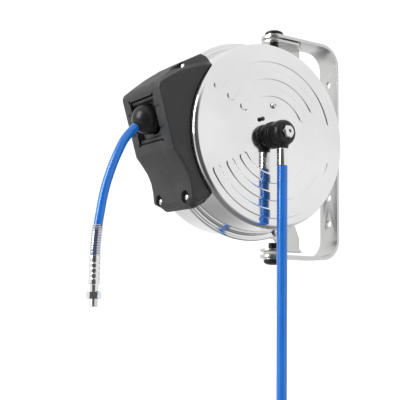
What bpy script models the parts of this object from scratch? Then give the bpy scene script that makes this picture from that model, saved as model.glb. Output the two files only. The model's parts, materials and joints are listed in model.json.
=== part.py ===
"""Wall-mounted spring-rewind hose reel in a polished steel casing that swivels on a U-shaped wall strap.

The frame: metres, +Z up. The origin lies on the wall plane at the middle of the strap, the wall is
the plane Y = 0, the reel stands out along -Y, and +X is the casing's front face.
"""

import math

import bmesh
import bpy
from mathutils import Vector

MM = 0.001
GAP = 0.3 * MM  # between pieces that touch

# Wall strap
STRAP_WIDTH = 31.8 * MM
STRAP_THICK = 4.0 * MM
STRAP_HEIGHT = 276.7 * MM
STRAP_BEND = 27.0 * MM
WALL_HOLE_Z = (90.8 * MM, 57.3 * MM)
WALL_HOLE_R = 4.5 * MM

# Swivel pivot of the casing, a vertical line
PIVOT_Y = -93.9 * MM
BOLT_R = 3.0 * MM
NUT_FLATS = 10.0 * MM
NUT_HIGH = 7.1 * MM
CAP_R = 11.75 * MM

# Casing: two dishes that meet at a flanged seam in the plane X = 0
AXIS_Y = -134.3 * MM
AXIS_Z = 0.9 * MM
SEAM_R = 120.0 * MM
SKIRT_R = 112.7 * MM
FACE_X = 50.2 * MM
FACE_R = 102.5 * MM
FACE_EDGE_R = 109.0 * MM
REAR_X = -62.0 * MM
REAR_ROUND = 9.5 * MM
REAR_SKIRT_R = 109.3 * MM
SHEET = 1.3 * MM
RIB_WIDE = 10.5 * MM
RIB_HIGH = 0.9 * MM
# Inner radius, and the half-turns in degrees from the vertical towards the mouth and towards the wall
RIBS = ((86.5 * MM, 58.7, 73.3), (66.2 * MM, 57.3, 56.9), (45.9 * MM, 55.1, 58.6))
CASE_OPEN_LOW = AXIS_Z - 43.2 * MM
CASE_OPEN_HIGH = AXIS_Z + 53.3 * MM
CASE_OPEN_Y = AXIS_Y - 92.0 * MM
CASE_OPEN_HALF = 33.3 * MM

# Swivel brackets and the screws that clamp the seam
TAB_INNER = 128.0 * MM
TAB_THICK = 3.0 * MM
LEG_X = (-5.2 * MM, -2.2 * MM)
SEAM_SCREW_R = 116.6 * MM
SEAM_SCREW_TURN = (20.9, 36.0)  # degrees from the vertical towards the wall

# Drum and its spring
SHAFT_R = 8.0 * MM
DRUM_HALF = 30.0 * MM
DRUM_R = 98.0 * MM
CORE_R = 44.0 * MM
WOUND_R = 78.0 * MM
HOSE_R = 5.0 * MM
LEAD_OFFSET = 83.5 * MM  # from the drum's axis to the hose that leaves it
RATCHET_TEETH = 12
RATCHET_ROOT = 22.0 * MM
RATCHET_TIP = 26.0 * MM
PAWL_PIVOT_R = 35.5 * MM
PAWL_ARM = 20.0 * MM
PAWL_REST = 52.0  # degrees at the pivot between the drum's axis and the pawl's nose, released
NOSE_R = 1.2 * MM

# Hose guide and its four rollers
MOUTH = Vector((0.0, -275.8 * MM, 8.0 * MM))
MOUTH_TILT = math.radians(17.3)
MOUTH_HALF = 25.5 * MM
GUIDE_HALF = 42.0 * MM
CROWN_HALF = 30.0 * MM
FRAME_HALF = 31.0 * MM
FRAME_NEAR = 3.2 * MM
FRAME_FAR = 17.0 * MM
INNER_HALF = 26.0 * MM
ROLLER_R = 3.0 * MM
ROLLER_DEPTH = 5.4 * MM
ROLLER_REACH = 22.6 * MM
SIDE_DEPTH = 12.8 * MM
SIDE_REACH = 18.2 * MM
PIN_R = 1.2 * MM
BALL = Vector((0.0, -274.3 * MM, 10.3 * MM))
BALL_R = 17.5 * MM

# Inlet elbow
ELBOW_X = 67.0 * MM
COLLAR_R = 14.5 * MM
INLET_HOSE_R = 6.0 * MM
INLET_HOSE_TOP = -38.4 * MM
INLET_HOSE_END = -326.0 * MM

# The outlet hose's route in the plane X = 0, (Y, Z) in millimetres, from the ball to the crimp
OUTLET_ROUTE = (
    (-289.4, -0.8), (-296.4, -8.6), (-302.7, -17.0), (-307.2, -25.6), (-311.3, -34.6),
    (-315.3, -44.2), (-318.8, -54.1), (-322.1, -64.1), (-324.8, -74.3), (-327.1, -85.2),
    (-328.9, -96.2), (-330.8, -108.0), (-332.3, -120.0), (-333.4, -132.5), (-333.9, -144.6),
)
GUARD_FROM_Z = -113.6 * MM

FINE = 44
ROUND = 20
SMALL = 10

MATERIALS = {
    "steel_polished": ((0.86, 0.86, 0.86), 0.12, 1.0),
    "steel_brushed": ((0.72, 0.72, 0.71), 0.32, 1.0),
    "steel_dark": ((0.05, 0.05, 0.055), 0.35, 0.8),
    "chrome": ((0.85, 0.85, 0.86), 0.08, 1.0),
    "black_plastic": ((0.045, 0.046, 0.05), 0.45, 0.0),
    "black_rubber": ((0.02, 0.02, 0.02), 0.6, 0.0),
    "nylon": ((0.75, 0.74, 0.68), 0.5, 0.0),
    "hose_blue": ((0.012, 0.13, 0.52), 0.22, 0.0),
    "spring_steel": ((0.35, 0.36, 0.38), 0.35, 1.0),
}


def clear_scene():
    for item in list(bpy.data.objects):
        bpy.data.objects.remove(item, do_unlink=True)


def material(name):
    found = bpy.data.materials.get(name)
    if found:
        return found
    colour, rough, metal = MATERIALS[name]
    made = bpy.data.materials.new(name)
    made.use_nodes = True
    shader = made.node_tree.nodes["Principled BSDF"]
    shader.inputs["Base Color"].default_value = (*colour, 1.0)
    shader.inputs["Roughness"].default_value = rough
    shader.inputs["Metallic"].default_value = metal
    return made


def empty(name, place, tilt=0.0, parent=None):
    """An empty on a joint's axis or at a sub-frame, turned by tilt about X."""
    made = bpy.data.objects.new(name, None)
    bpy.context.collection.objects.link(made)
    made.location = place
    made.rotation_euler = (tilt, 0.0, 0.0)
    made.parent = parent
    return made


def place(name, mesh, look, parent=None, at=(0.0, 0.0, 0.0), turn=(0.0, 0.0, 0.0)):
    made = bpy.data.objects.new(name, mesh)
    bpy.context.collection.objects.link(made)
    made.location = at
    made.rotation_euler = turn
    made.parent = parent
    if look:
        mesh.materials.append(material(look))
        mesh.shade_smooth()
        mesh.set_sharp_from_angle(angle=math.radians(35))
    return made


def mesh_from(points, faces, name):
    mesh = bpy.data.meshes.new(name)
    mesh.from_pydata(points, [], faces)
    work = bmesh.new()
    work.from_mesh(mesh)
    bmesh.ops.recalc_face_normals(work, faces=work.faces)
    work.to_mesh(mesh)
    work.free()
    return mesh


def turned_mesh(name, profile, axis="Z", sides=ROUND):
    """A closed outline of (radius, height) pairs, turned about an axis. Points at radius 0 make solid ends."""
    points = []
    rows = []
    for radius, height in profile:
        if radius < 1e-9:
            points.append(on_axis(axis, 0.0, height, 0.0))
            rows.append([len(points) - 1] * sides)
            continue
        start = len(points)
        for k in range(sides):
            points.append(on_axis(axis, radius, height, math.tau * k / sides))
        rows.append(list(range(start, start + sides)))
    faces = []
    for low, high in zip(rows, rows[1:] + rows[:1]):
        for k in range(sides):
            corners = [low[k], low[(k + 1) % sides], high[(k + 1) % sides], high[k]]
            corners = list(dict.fromkeys(corners))
            if len(corners) > 2:
                faces.append(corners)
    return mesh_from(points, faces, name)


def on_axis(axis, radius, height, turn):
    a = radius * math.cos(turn)
    b = radius * math.sin(turn)
    return {"X": (height, a, b), "Y": (a, height, b), "Z": (a, b, height)}[axis]


def turned(name, profile, look, axis="Z", sides=ROUND, **where):
    return place(name, turned_mesh(name, profile, axis, sides), look, **where)


def ring(inner, outer, low, high):
    """The outline of a ring, for turned()."""
    return [(inner, low), (outer, low), (outer, high), (inner, high)]


def rod(radius, low, high):
    """The outline of a solid rod, for turned()."""
    return [(0.0, low), (radius, low), (radius, high), (0.0, high)]


def prism_mesh(name, outline, axis, low, high):
    """A flat outline extruded along an axis. The outline's pairs are the other two axes in X, Y, Z order."""
    order = {"X": (2, 0, 1), "Y": (0, 2, 1), "Z": (0, 1, 2)}[axis]
    points = []
    for level in (low, high):
        for a, b in outline:
            triple = (a, b, level)
            points.append(tuple(triple[k] for k in order))
    count = len(outline)
    faces = [list(range(count)), list(range(count, 2 * count))]
    for k in range(count):
        after = (k + 1) % count
        faces.append([k, after, count + after, count + k])
    return mesh_from(points, faces, name)


def prism(name, outline, look, axis, low, high, **where):
    return place(name, prism_mesh(name, outline, axis, low, high), look, **where)


def box(name, low, high, look=None, **where):
    outline = [(low[0], low[1]), (high[0], low[1]), (high[0], high[1]), (low[0], high[1])]
    return prism(name, outline, look, "Z", low[2], high[2], **where)


def arc(centre, radius, start, end, steps):
    """Points along an arc, in degrees."""
    made = []
    for k in range(steps + 1):
        turn = math.radians(start + (end - start) * k / steps)
        made.append((centre[0] + radius * math.cos(turn), centre[1] + radius * math.sin(turn)))
    return made


def in_mm(pairs):
    return [(a * MM, b * MM) for a, b in pairs]


def hexagon(flats):
    corner = flats / math.sqrt(3.0)
    return [(corner * math.cos(math.pi * k / 3), corner * math.sin(math.pi * k / 3)) for k in range(6)]


def combine(target, other, operation):
    """A Boolean with a hidden cutter."""
    other.hide_render = True
    other.display_type = "WIRE"
    step = target.modifiers.new(operation.lower(), "BOOLEAN")
    step.operation = operation
    step.solver = "EXACT"
    step.object = other
    return target


def cut(target, *others):
    for other in others:
        combine(target, other, "DIFFERENCE")
    return target


def join(target, *others):
    for other in others:
        combine(target, other, "UNION")
    return target


def hex_ring(name, flats, bore, low, high, look, axis="Z", **where):
    made = prism(name, hexagon(flats), look, axis, low, high, **where)
    margin = 1.0 * MM
    outside = bore / math.cos(math.pi / ROUND)
    return cut(made, turned(name + "_bore", rod(outside, low - margin, high + margin), None, axis, **where))


def smooth_path(route, spacing):
    """Points at an even spacing on a Catmull-Rom curve through the route."""
    ends = [route[0] * 2 - route[1], *route, route[-1] * 2 - route[-2]]
    fine = []
    for a, b, c, d in zip(ends, ends[1:], ends[2:], ends[3:]):
        for k in range(12):
            t = k / 12
            fine.append(
                (b * 2 + (c - a) * t + (a * 2 - b * 5 + c * 4 - d) * t**2 + (b * 3 - a - c * 3 + d) * t**3) / 2
            )
    fine.append(route[-1])
    lengths = [0.0]
    for a, b in zip(fine, fine[1:]):
        lengths.append(lengths[-1] + (b - a).length)
    count = max(2, round(lengths[-1] / spacing))
    made = []
    reach = 0
    for k in range(count + 1):
        want = lengths[-1] * k / count
        while reach < len(fine) - 2 and lengths[reach + 1] < want:
            reach += 1
        share = (want - lengths[reach]) / (lengths[reach + 1] - lengths[reach])
        made.append(fine[reach].lerp(fine[reach + 1], share))
    return made


def tube(name, route, radius, look, parent):
    """A cord's plain solid: a filled tube along a smooth curve through the route."""
    curve = bpy.data.curves.new(name, "CURVE")
    curve.dimensions = "3D"
    curve.bevel_depth = radius
    curve.bevel_resolution = 2
    curve.use_fill_caps = True
    points = smooth_path(route, 5 * radius)
    line = curve.splines.new("POLY")
    line.points.add(len(points) - 1)
    for target, point in zip(line.points, points):
        target.co = (*point, 1.0)
    made = bpy.data.objects.new(name, curve)
    bpy.context.collection.objects.link(made)
    curve.materials.append(material(look))
    made.parent = parent
    made.matrix_parent_inverse = world_of(parent).inverted()
    return made


def world_of(item):
    """An empty's place in the world, from its own chain of parents."""
    own = item.matrix_basis
    return world_of(item.parent) @ own if item.parent else own


def wall_strap():
    """A flat bar bent into a U, with round ends, four wall holes and two pivot holes."""
    half = STRAP_HEIGHT / 2
    inner = STRAP_BEND - STRAP_THICK
    end = PIVOT_Y - STRAP_WIDTH
    outline = [(end, half)]
    outline += arc((-STRAP_BEND, half - STRAP_BEND), STRAP_BEND, 90, 0, 8)
    outline += arc((-STRAP_BEND, STRAP_BEND - half), STRAP_BEND, 0, -90, 8)
    outline += [(end, -half), (end, STRAP_THICK - half)]
    outline += arc((-STRAP_BEND, STRAP_BEND - half), inner, -90, 0, 8)
    outline += arc((-STRAP_BEND, half - STRAP_BEND), inner, 0, 90, 8)
    outline += [(end, half - STRAP_THICK)]
    strap = prism("wall_strap", outline, "steel_brushed", "X", -STRAP_WIDTH, STRAP_WIDTH)
    for side in (1, -1):
        hole = rod(BOLT_R + 2.3 * MM, -2 * STRAP_THICK, 2 * STRAP_THICK)
        cut(strap, turned(f"pivot_hole_{side}", hole, None, "Z", SMALL, at=(0.0, PIVOT_Y, side * half)))
    plan = arc((0.0, PIVOT_Y), STRAP_WIDTH / 2, 180, 360, 15)
    plan += [(STRAP_WIDTH / 2, 5 * MM), (-STRAP_WIDTH / 2, 5 * MM)]
    combine(strap, prism("strap_plan", plan, None, "Z", -STRAP_HEIGHT, STRAP_HEIGHT), "INTERSECT")
    for k, height in enumerate((*WALL_HOLE_Z, -WALL_HOLE_Z[0], -WALL_HOLE_Z[1])):
        hole = rod(WALL_HOLE_R, -STRAP_THICK - MM, MM)
        cut(strap, turned(f"wall_hole_{k}", hole, None, "Y", SMALL, at=(0.0, 0.0, height)))


def pivot_stack(name, side, carrier):
    """The bush in one arm, and the bolt, cap, washer and nut that turn in it. side is 1 above, -1 below."""
    top = STRAP_HEIGHT / 2
    low = top - STRAP_THICK
    tab = TAB_INNER + TAB_THICK + side * AXIS_Z
    at = (0.0, PIVOT_Y, 0.0)
    turn = (0.0, 0.0, 0.0) if side > 0 else (math.pi, 0.0, 0.0)
    bush_r = BOLT_R + 2.0 * MM
    bore = BOLT_R + 0.15 * MM
    bush = [(bore, tab + GAP), (12.0 * MM, tab + GAP), (12.0 * MM, low - GAP)]
    bush += [(bush_r, low - GAP), (bush_r, top + 0.1 * MM), (bore, top + 0.1 * MM)]
    turned(f"{name}_pivot_bush", bush, "nylon", at=at, turn=turn)
    here = (0.0, 0.0, 0.0)
    washer_top = top + 1.6 * MM
    turned(f"{name}_pivot_washer", ring(bore, 12.6 * MM, top + 0.4 * MM, washer_top), "steel_brushed",
           parent=carrier, at=here, turn=turn)
    head = washer_top + GAP
    bolt = prism(f"{name}_pivot_bolt", hexagon(NUT_FLATS), "steel_brushed", "Z", head, head + 3.4 * MM,
                 parent=carrier, at=here, turn=turn)
    nut_end = TAB_INNER + side * AXIS_Z - GAP - NUT_HIGH
    join(bolt, turned(f"{name}_shank", rod(BOLT_R, nut_end + 0.5 * MM, head + 1.0 * MM), None, sides=SMALL,
                      parent=carrier, at=here, turn=turn))
    crown = head + 6.4 * MM
    cap = [(0.0, crown), (5.0 * MM, crown - 0.2 * MM), (9.0 * MM, crown - 1.2 * MM)]
    cap += [(CAP_R, crown - 3.4 * MM), (CAP_R, head), (7.0 * MM, head)]
    cap += [(7.0 * MM, head + 4.2 * MM), (0.0, head + 4.2 * MM)]
    turned(f"{name}_pivot_cap", cap, "black_plastic", parent=carrier, at=here, turn=turn)
    hex_ring(f"{name}_pivot_nut", NUT_FLATS, BOLT_R + GAP, nut_end, nut_end + NUT_HIGH, "steel_dark",
             parent=carrier, at=here, turn=turn)


def swivel_bracket(name, side, carrier):
    """A bent plate: a tab on the pivot and a leg that is screwed behind the casing's seam."""
    depth = AXIS_Y - PIVOT_Y
    edge = 43.2 * MM
    low = TAB_INNER
    high = TAB_INNER + TAB_THICK
    at = (0.0, 0.0, AXIS_Z)
    turn = (0.0, 0.0, 0.0)
    flip = side

    def spot(along, height):
        return (along, flip * height)

    inner = SKIRT_R + 0.8 * MM
    leg = [spot(edge, high - 0.4 * MM), spot(9.0 * MM, high - 0.4 * MM), spot(9.0 * MM, 121.0 * MM)]
    bolt = math.radians(SEAM_SCREW_TURN[0])
    lobe = (depth + SEAM_SCREW_R * math.sin(bolt), SEAM_SCREW_R * math.cos(bolt))
    leg += [spot(a, b) for a, b in arc(lobe, 6.4 * MM, 75, 175, 5)]
    leg += [spot(depth + inner * math.sin(t), inner * math.cos(t))
            for t in [math.radians(17.6 + 22.0 * k / 10) for k in range(11)]]
    leg += [spot(38.8 * MM, 103.9 * MM), spot(43.2 * MM, 112.3 * MM)]
    plate = prism(name, leg, "steel_brushed", "X", *LEG_X, parent=carrier, at=at, turn=turn)
    tab = arc((0.0, 0.0), 15.9 * MM, 180, 360, 14)
    tab += [(15.9 * MM, 28.0 * MM), (2.0 * MM, edge), (LEG_X[0] + 0.5 * MM, edge)]
    tab += [(LEG_X[0] + 0.5 * MM, 16.0 * MM), (-15.9 * MM, 8.0 * MM)]
    levels = sorted((flip * low, flip * high))
    join(plate, prism(name + "_tab", tab, None, "Z", *levels, parent=carrier, at=at))
    hole = rod(BOLT_R + GAP, 0.0, 2 * TAB_INNER) if side > 0 else rod(BOLT_R + GAP, -2 * TAB_INNER, 0.0)
    cut(plate, turned(name + "_hole", hole, None, "Z", SMALL, parent=carrier, at=at))
    for k, (along, height) in enumerate(seam_screw_places(side)):
        cutter = rod(2.3 * MM, -20 * MM, 20 * MM)
        cut(plate, turned(f"{name}_screw_hole_{k}", cutter, None, "X", SMALL, parent=carrier,
                          at=(0.0, along, AXIS_Z + height)))


def seam_screw_places(side):
    """(Y from the pivot, Z from the casing's axis) of the two seam screws at one bracket."""
    made = []
    for turn in SEAM_SCREW_TURN:
        t = math.radians(turn)
        made.append((AXIS_Y - PIVOT_Y + SEAM_SCREW_R * math.sin(t), side * SEAM_SCREW_R * math.cos(t)))
    return made


def seam_screws(carrier):
    """Button-head screws with black washers, through the seam into the brackets' tapped holes."""
    number = 0
    for side in (1, -1):
        for along, height in seam_screw_places(side):
            number += 1
            at = (0.0, along, AXIS_Z + height)
            front = 1.6 * MM + GAP
            turned(f"seam_washer_{number}", ring(2.3 * MM, 3.7 * MM, front, front + 0.9 * MM), "black_rubber",
                   "X", SMALL, parent=carrier, at=at)
            head = front + 0.9 * MM + GAP
            back = LEG_X[0] - 1.8 * MM
            screw = [(0.0, back), (2.0 * MM, back), (2.0 * MM, head), (3.5 * MM, head)]
            screw += [(3.5 * MM, head + 0.8 * MM), (2.4 * MM, head + 2.0 * MM), (0.0, head + 2.3 * MM)]
            turned(f"seam_screw_{number}", screw, "chrome", "X", SMALL, parent=carrier, at=at)


def front_outline(shift):
    """The front dish's (radius, X) outline, moved inwards by shift."""
    round_r = 6.7 * MM
    centre = (FACE_R - 0.2 * MM, FACE_X - round_r)
    edge = [(centre[0] + (round_r - shift) * math.cos(math.radians(t)),
             centre[1] + (round_r - shift) * math.sin(math.radians(t))) for t in (90, 60, 30, 0)]
    return [*edge, (SKIRT_R - shift, 1.6 * MM if shift == 0.0 else GAP / 2)]


def rear_outline(shift):
    """The rear dish's (radius, X) outline, moved inwards by shift."""
    centre = (REAR_SKIRT_R - REAR_ROUND, REAR_X + REAR_ROUND)
    edge = [(centre[0] + (REAR_ROUND - shift) * math.cos(math.radians(t)),
             centre[1] + (REAR_ROUND - shift) * math.sin(math.radians(t))) for t in (270, 300, 330, 360)]
    return [*edge, (SKIRT_R - shift, -1.6 * MM if shift == 0.0 else -GAP / 2)]


def rib(name, inner, out_turn, wall_turn, side, carrier):
    """A pressed rib on the front face: an arc band with round ends, outwards and towards the wall."""
    middle = inner + RIB_WIDE / 2
    outline = arc((0.0, 0.0), inner + RIB_WIDE, 90 - wall_turn, 90 + out_turn, 14)
    outline += end_round(middle, 90 + out_turn, 1)
    outline += arc((0.0, 0.0), inner, 90 + out_turn, 90 - wall_turn, 14)
    outline += end_round(middle, 90 - wall_turn, -1)
    outline = [(a, side * b) for a, b in outline]
    return prism(name, outline, None, "X", FACE_X - 0.5 * MM, FACE_X + RIB_HIGH, parent=carrier,
                 at=(0.0, AXIS_Y - PIVOT_Y, AXIS_Z))


def end_round(middle, turn, way):
    t = math.radians(turn)
    centre = (middle * math.cos(t), middle * math.sin(t))
    start = turn if way > 0 else turn + 180
    return arc(centre, RIB_WIDE / 2, start, start + 180, 4)[1:-1]


def case_opening(name, carrier):
    depth = AXIS_Y - PIVOT_Y
    return box(name, (-CASE_OPEN_HALF, depth - 2 * SEAM_R, CASE_OPEN_LOW),
               (CASE_OPEN_HALF, CASE_OPEN_Y - PIVOT_Y, CASE_OPEN_HIGH), parent=carrier)


def covers(carrier):
    """The two dishes of the casing, each a turned sheet with a flange at the seam."""
    at = (0.0, AXIS_Y - PIVOT_Y, AXIS_Z)
    bore = SHAFT_R + GAP
    outer = [(bore, FACE_X), *front_outline(0.0), (SEAM_R, 1.6 * MM), (SEAM_R, GAP / 2)]
    front = turned("front_cover", outer + front_outline(SHEET)[::-1] + [(bore, FACE_X - SHEET)], "steel_polished",
                   "X", FINE, parent=carrier, at=at)
    cut(front, case_opening("front_opening", carrier))
    for k, band in enumerate(RIBS):
        join(front, rib(f"rib_high_{k}", *band, 1, carrier))
        join(front, rib(f"rib_low_{k}", *band, -1, carrier))
    outer = [(bore, REAR_X), *rear_outline(0.0), (SEAM_R, -1.6 * MM), (SEAM_R, -GAP / 2)]
    rear = turned("rear_cover", outer + rear_outline(SHEET)[::-1] + [(bore, REAR_X + SHEET)], "steel_polished",
                  "X", FINE, parent=carrier, at=at)
    cut(rear, case_opening("rear_opening", carrier))
    pivot = rod(2.3 * MM, FACE_X - 5 * MM, FACE_X + 5 * MM)
    cut(front, turned("pawl_pin_hole", pivot, None, "X", SMALL, parent=carrier,
                      at=(0.0, at[1], AXIS_Z + PAWL_PIVOT_R), turn=(0.2, 0.0, 0.0)))
    for side in (1, -1):
        for k, (along, height) in enumerate(seam_screw_places(side)):
            for cover, word in ((front, "front"), (rear, "rear")):
                hole = rod(2.3 * MM, -6 * MM, 6 * MM)
                cut(cover, turned(f"{word}_seam_hole_{side}_{k}", hole, None, "X", SMALL, parent=carrier,
                                  at=(0.0, along, AXIS_Z + height)))


def shaft_parts(carrier):
    """The fixed hollow shaft with its rear nut, its spring arbor and the inlet collar in front."""
    at = (0.0, AXIS_Y - PIVOT_Y, AXIS_Z)
    shaft = [(4.0 * MM, REAR_X - 8.5 * MM), (SHAFT_R, REAR_X - 8.5 * MM), (SHAFT_R, 57.0 * MM), (4.0 * MM, 57.0 * MM)]
    turned("drum_shaft", shaft, "steel_brushed", "X", parent=carrier, at=at)
    hex_ring("shaft_nut", 24.0 * MM, SHAFT_R + GAP, REAR_X - GAP - 6.5 * MM, REAR_X - GAP, "steel_brushed", "X",
             parent=carrier, at=at)
    turned("spring_arbor", ring(SHAFT_R + GAP, 11.0 * MM, -57.5 * MM, -38.5 * MM), "steel_dark", "X",
           parent=carrier, at=at)
    collar = [(SHAFT_R + GAP, FACE_X + GAP), (15.8 * MM, FACE_X + GAP), (15.8 * MM, FACE_X + 3.0 * MM)]
    collar += [(COLLAR_R, FACE_X + 3.6 * MM), (COLLAR_R, 57.9 * MM), (13.6 * MM, 58.6 * MM)]
    collar += [(SHAFT_R + GAP, 58.6 * MM)]
    turned("inlet_collar", collar, "black_plastic", "X", parent=carrier, at=at)


def scalloped(inner, outer, half, radius):
    """The outline of hose wound side by side between two flanges."""
    turns = int(2 * half / (2 * radius))
    made = [(inner, -half), (outer - radius, -half)]
    for k in range(turns):
        middle = -half + radius * (2 * k + 1) * half / (radius * turns)
        reach = half / turns
        made += [(outer - radius + radius * math.sin(math.radians(t)), middle - reach * math.cos(math.radians(t)))
                 for t in (60, 120)]
        made.append((outer - radius, middle + reach))
    made.append((inner, half))
    return made


def drum_parts(drum):
    """The bobbin, its flanges, bushes and spring case, the wound hose and the ratchet wheel."""
    barrel = CORE_R - 3.0 * MM
    hub = 15.5 * MM
    bore = 11.6 * MM
    half = DRUM_HALF - GAP
    core = [(bore, -half), (hub, -half), (hub, -3 * MM), (barrel, -3 * MM), (barrel, -half), (CORE_R, -half)]
    core += [(r, -x) for r, x in core[::-1]]
    turned("drum_core", core, "black_plastic", "X", 32, parent=drum)
    turned("wound_hose", scalloped(CORE_R + GAP, WOUND_R, half, HOSE_R), "hose_blue", "X", 32, parent=drum)
    turned("front_flange", ring(bore, DRUM_R, DRUM_HALF, DRUM_HALF + 2 * MM), "black_plastic", "X", 32, parent=drum)
    turned("rear_flange", ring(bore, DRUM_R, -DRUM_HALF - 2 * MM, -DRUM_HALF), "black_plastic", "X", 32,
           parent=drum)
    inner = SHAFT_R + 0.1 * MM
    turned("front_bush", ring(inner, bore - GAP, 20.0 * MM, 35.8 * MM), "nylon", "X", parent=drum)
    turned("rear_bush", ring(inner, bore - GAP, -36.0 * MM, -20.0 * MM), "nylon", "X", parent=drum)
    floor = -DRUM_HALF - 2 * MM - GAP
    case = [(13.0 * MM, floor - 2.0 * MM), (13.0 * MM, floor), (38.0 * MM, floor), (38.0 * MM, -57.0 * MM)]
    case += [(36.0 * MM, -57.0 * MM), (36.0 * MM, floor - 2.0 * MM)]
    turned("spring_case", case, "steel_dark", "X", 32, parent=drum)
    power_spring(drum)
    ratchet_wheel(drum)


def power_spring(drum):
    """A flat strip wound in a spiral between the arbor and the spring case."""
    turns = 5
    start = 12.2 * MM
    end = 34.6 * MM
    strip = 0.9 * MM
    steps = turns * 14
    outer = []
    inner = []
    for k in range(steps + 1):
        turn = math.tau * turns * k / steps
        radius = start + (end - start) * k / steps
        outer.append(((radius + strip) * math.cos(turn), (radius + strip) * math.sin(turn)))
        inner.append((radius * math.cos(turn), radius * math.sin(turn)))
    outline = outer + inner[::-1]
    count = len(outer)
    points = [(level, a, b) for level in (-55.5 * MM, -36.5 * MM) for a, b in outline]
    total = len(outline)
    faces = []
    for k in range(steps):
        inside = total - 1 - k
        faces.append([k, k + 1, inside - 1, inside])
        faces.append([total + k, total + k + 1, total + inside - 1, total + inside])
        faces.append([k, k + 1, total + k + 1, total + k])
        faces.append([inside - 1, inside, total + inside, total + inside - 1])
    faces.append([0, total - 1, 2 * total - 1, total])
    faces.append([count - 1, count, total + count, total + count - 1])
    place("power_spring", mesh_from(points, faces, "power_spring"), "spring_steel", parent=drum)


def around(radius, turn):
    """(Y, Z) at an angle from the vertical towards the mouth, about the drum's axis."""
    t = math.radians(turn)
    return (-radius * math.sin(t), radius * math.cos(t))


def ratchet_wheel(drum):
    pitch = 360.0 / RATCHET_TEETH
    nose = nose_turn(PAWL_REST - 10.0)
    outline = []
    for k in range(RATCHET_TEETH):
        root = nose + 4.0 + pitch * k
        outline += [around(RATCHET_TIP, root - pitch + 3.0), around(RATCHET_TIP, root - pitch + 6.0)]
        outline += [around(RATCHET_ROOT, root)]
    wheel = prism("ratchet_wheel", outline, "steel_dark", "X", DRUM_HALF + 2 * MM + GAP, DRUM_HALF + 6.5 * MM,
                  parent=drum)
    cut(wheel, turned("ratchet_bore", rod(14.0 * MM, DRUM_HALF, DRUM_HALF + 10 * MM), None, "X", parent=drum))


def nose_turn(at_pivot):
    """The nose's angle about the drum's axis, for the angle that it makes at the pawl's pivot."""
    t = math.radians(at_pivot)
    across = PAWL_ARM * math.sin(t)
    return math.degrees(math.atan2(across, PAWL_PIVOT_R - PAWL_ARM * math.cos(t)))


def pawl_parts(carrier, pawl):
    """The pawl on its pin under the front face. The pin's dome head shows outside."""
    t = math.radians(PAWL_REST)
    nose = (-PAWL_ARM * math.sin(t), -PAWL_ARM * math.cos(t))
    heel = math.degrees(math.atan2(nose[1], nose[0]))
    outline = arc((0.0, 0.0), 5.0 * MM, heel + 80, heel + 280, 12)
    outline += arc(nose, NOSE_R, heel - 85, heel + 85, 5)
    low = DRUM_HALF + 2.6 * MM
    made = prism("pawl", outline, "steel_dark", "X", low, low + 3.6 * MM, parent=pawl)
    cut(made, turned("pawl_bore", rod(2.1 * MM, low - MM, low + 6 * MM), None, "X", SMALL, parent=pawl))
    at = (0.0, AXIS_Y - PIVOT_Y, AXIS_Z + PAWL_PIVOT_R)
    pin = [(0.0, low), (2.0 * MM, low), (2.0 * MM, FACE_X + GAP), (4.0 * MM, FACE_X + GAP)]
    pin += [(4.0 * MM, FACE_X + 1.4 * MM), (2.6 * MM, FACE_X + 2.8 * MM), (0.0, FACE_X + 3.2 * MM)]
    turned("pawl_pin", pin, "chrome", "X", SMALL, parent=carrier, at=at)


def guide_section(crown):
    """The guide's (Y, Z) outline in millimetres at the crown or at the side wall."""
    front = -285.2 if crown else -284.3
    low = 0.0 if crown else 1.0
    made = [(front, 38.0), (front + 20.3, -27.5), (-257.5 + low, -35.5), (-249.8 + low, -45.5)]
    made += [(-244.4 + low, -56.0), (-241.8 + low, -66.0), (-239.0, -82.5), (-229.0, -88.0 if crown else -81.5)]
    made += [(-214.0, -80.0 if crown else -71.0), (-196.0, -60.0), (-196.0, 60.0)]
    made += [(-214.0, 84.5 if crown else 74.0), (-228.0, 83.5 if crown else 71.0)]
    made += [(-243.0, 77.6 if crown else 65.8), (-257.6, 68.2 if crown else 60.0)]
    made += [(-271.0, 57.5 if crown else 52.0), (front + 1.4, 46.5 if crown else 43.5)]
    return [(a * MM, b * MM) for a, b in made]


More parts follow.
